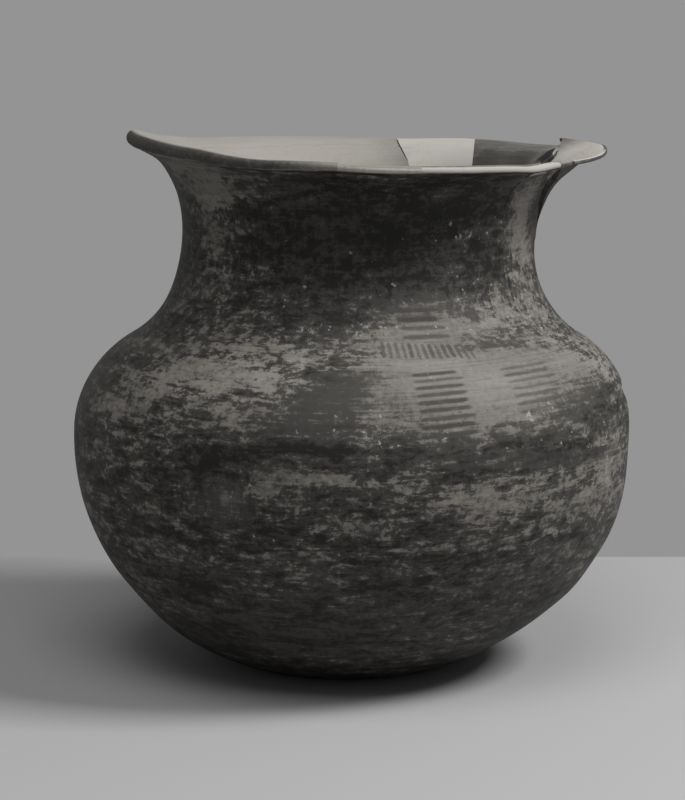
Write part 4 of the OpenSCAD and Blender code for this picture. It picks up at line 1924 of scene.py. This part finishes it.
        def lower(around: Array, s: Array) -> Array:
            """The break, and beside the panel the edge that runs down to the panel's corner."""
            across = JAR.at(s)[0] * np.cos(around)
            return np.minimum(BREAK.along(around), np.interp(across * corner / PANEL_EDGE, r_all, s_all))

        self.piece(RimPatch(
            JAR, self.sherd_back, lambda s: self.at_x(PANEL_EDGE + 2 * self.gap, s), lower,
            columns=110, rows=20,
        ).pattern(), "rim_back_right_sherd", Mend.SHERD)
        self.piece(RimPatch(
            JAR, lambda s: self.at_x(PANEL_EDGE, s), lambda s: self.at_x(self.panel_left(s), s),
            self.notch_floor(JAR, PANEL_NOTCH), columns=60, rows=20,
        ).pattern(), "rim_back_fill", Mend.WHITE)
        self.piece(RimPatch(
            JAR, lambda s: self.at_x(self.panel_left(s) - 2 * self.gap, s),
            lambda s: last - self.gap / RIM_R + 0 * s, BREAK.along, columns=100,
        ).pattern(), "rim_back_left_sherd", Mend.BUFF)

    def build(self) -> None:
        """Makes every piece."""
        body = BodySheet(lumps=self.lumps).pattern()
        self.piece(body, "vessel_body", Mend.BODY, let_in=self.plug)
        self.stretch("rim_left_fill", Mend.TONED, *self.left_fill, bead_swell)
        self.stretch("rim_front_sherd", Mend.SHERD, *self.front_sherd)
        thin = replace(JAR, lip=self.fill_lip)
        self.stretch("rim_front_fill", Mend.WHITE, *self.front_fill, outline=thin)
        corner_r = float(BREAK.corner(np.array(self.notch_corner)))
        last = 360 - math.degrees(math.asin((SHERD_FRONT + BREAK.gap) / corner_r))
        self.stretch("rim_front_right_fill", Mend.WHITE, self.front_fill[1], last, outline=thin)
        self.rim_sherd()
        self.rim_back()
        self.piece(self.plug.pattern(self.gap), "wall_plug", Mend.TONED)


# The stage


@dataclass(frozen=True)
class Lamp:
    """A soft square lamp that looks at the jar.

    Attributes:
        name: The lamp's name.
        place: Where it hangs.
        size: The side of its square.
        power: Its power in watts.
        aim: What it looks at.
    """

    name: str
    place: tuple[float, float, float]
    size: float
    power: float
    aim: tuple[float, float, float] = (0, 0, 0.13)

    def hang(self) -> None:
        """Adds the lamp."""
        data = bpy.data.lights.new(self.name, "AREA")
        data.size, data.energy = self.size, self.power
        made = into_scene(self.name, data)
        made.location = self.place
        way = Vector(self.aim) - Vector(self.place)
        made.rotation_euler = way.to_track_quat("-Z", "Y").to_euler()


@dataclass(frozen=True)
class Stage:
    """The floor, the light and the colour behind.

    Attributes:
        far: How far the pale floor reaches back.
        far_soft: Half the width over which it ends.
        wide: How far it reaches to the other sides.
        pale: The floor's colour.
        behind: The even colour behind it.
        light: The colour of the light from all around.
        rough: The floor's roughness.
        gloss: The floor's specular level.
        lamps: The lamps.
    """

    far: float = 0.243
    far_soft: float = 2 * MM
    wide: float = 6.0
    pale: Colour = (0.44, 0.44, 0.44)
    behind: Colour = (0.296, 0.296, 0.296)
    light: Colour = (0.145, 0.145, 0.145)
    rough: float = 0.9
    gloss: float = 0.1
    lamps: tuple[Lamp, ...] = (
        Lamp("key", place=(1.22, -0.42, 1.5), size=0.6, power=30.5),
        Lamp("fill", place=(-0.15, -1.05, 2.1), size=1.4, power=18.5),
    )

    def floor(self) -> None:
        """Makes the floor, and beyond its far edge an even ground in the colour behind."""
        w = self.wide
        data = bpy.data.meshes.new("floor")
        data.from_pydata([(-w, -w, 0), (w, -w, 0), (w, w, 0), (-w, w, 0)], [], [(0, 1, 2, 3)])
        made = into_scene("floor", data)
        finish = bpy.data.materials.new("floor")
        finish.use_nodes = True
        board = Board(finish.node_tree)
        place = board.wire("ShaderNodeTexCoord", {}, {}, "Object")
        _, y, _ = board.parts(place)
        beyond = y.step(self.far - self.far_soft, self.far + self.far_soft)
        grain = board.noise(place, scale=3.0, detail=3.0)
        shader = board.add("ShaderNodeBsdfPrincipled", {}, {
            "Base Color": (*self.pale, 1.0), "Roughness": self.rough + grain * 0.03,
            "Specular IOR Level": self.gloss,
        })
        even = board.add("ShaderNodeEmission", {}, {"Color": (*self.behind, 1.0), "Strength": 1.0})
        both = board.add("ShaderNodeMixShader", {}, {0: beyond, 1: shader.outputs[0], 2: even.outputs[0]})
        board.add("ShaderNodeOutputMaterial", {}, {0: both.outputs[0]})
        data.materials.append(finish)

    def sky(self) -> None:
        """Gives the world an even light, and the camera and mirrored rays the colour behind."""
        world = bpy.data.worlds.new("sky")
        world.use_nodes = True
        bpy.context.scene.world = world
        board = Board(world.node_tree)
        path = board.add("ShaderNodeLightPath", {}, {})
        camera, glossy, through = (
            Wire(board, path.outputs[f"Is {kind} Ray"]) for kind in ("Camera", "Glossy", "Transmission")
        )
        colour = board.mix(camera.high(glossy).high(through), self.light, self.behind)
        back = board.add("ShaderNodeBackground", {}, {"Color": colour})
        board.add("ShaderNodeOutputWorld", {}, {0: back.outputs[0]})

    def set_up(self) -> None:
        """Sets up the whole stage."""
        self.floor()
        self.sky()
        for lamp in self.lamps:
            lamp.hang()
        bpy.context.scene.view_settings.view_transform = "Standard"


def write_size() -> None:
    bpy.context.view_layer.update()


def main() -> None:
    """Builds the dressed jar on its stage."""
    logging.basicConfig(level=logging.INFO, format="%(message)s")
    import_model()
    write_size()
    finishes = {mend: finish.material() for mend, finish in FINISHES.items()}
    Jar(Wheel(), finishes).build()
    VIEW.camera()
    Stage().set_up()
    write_size()


if __name__ == "__main__":
    main()
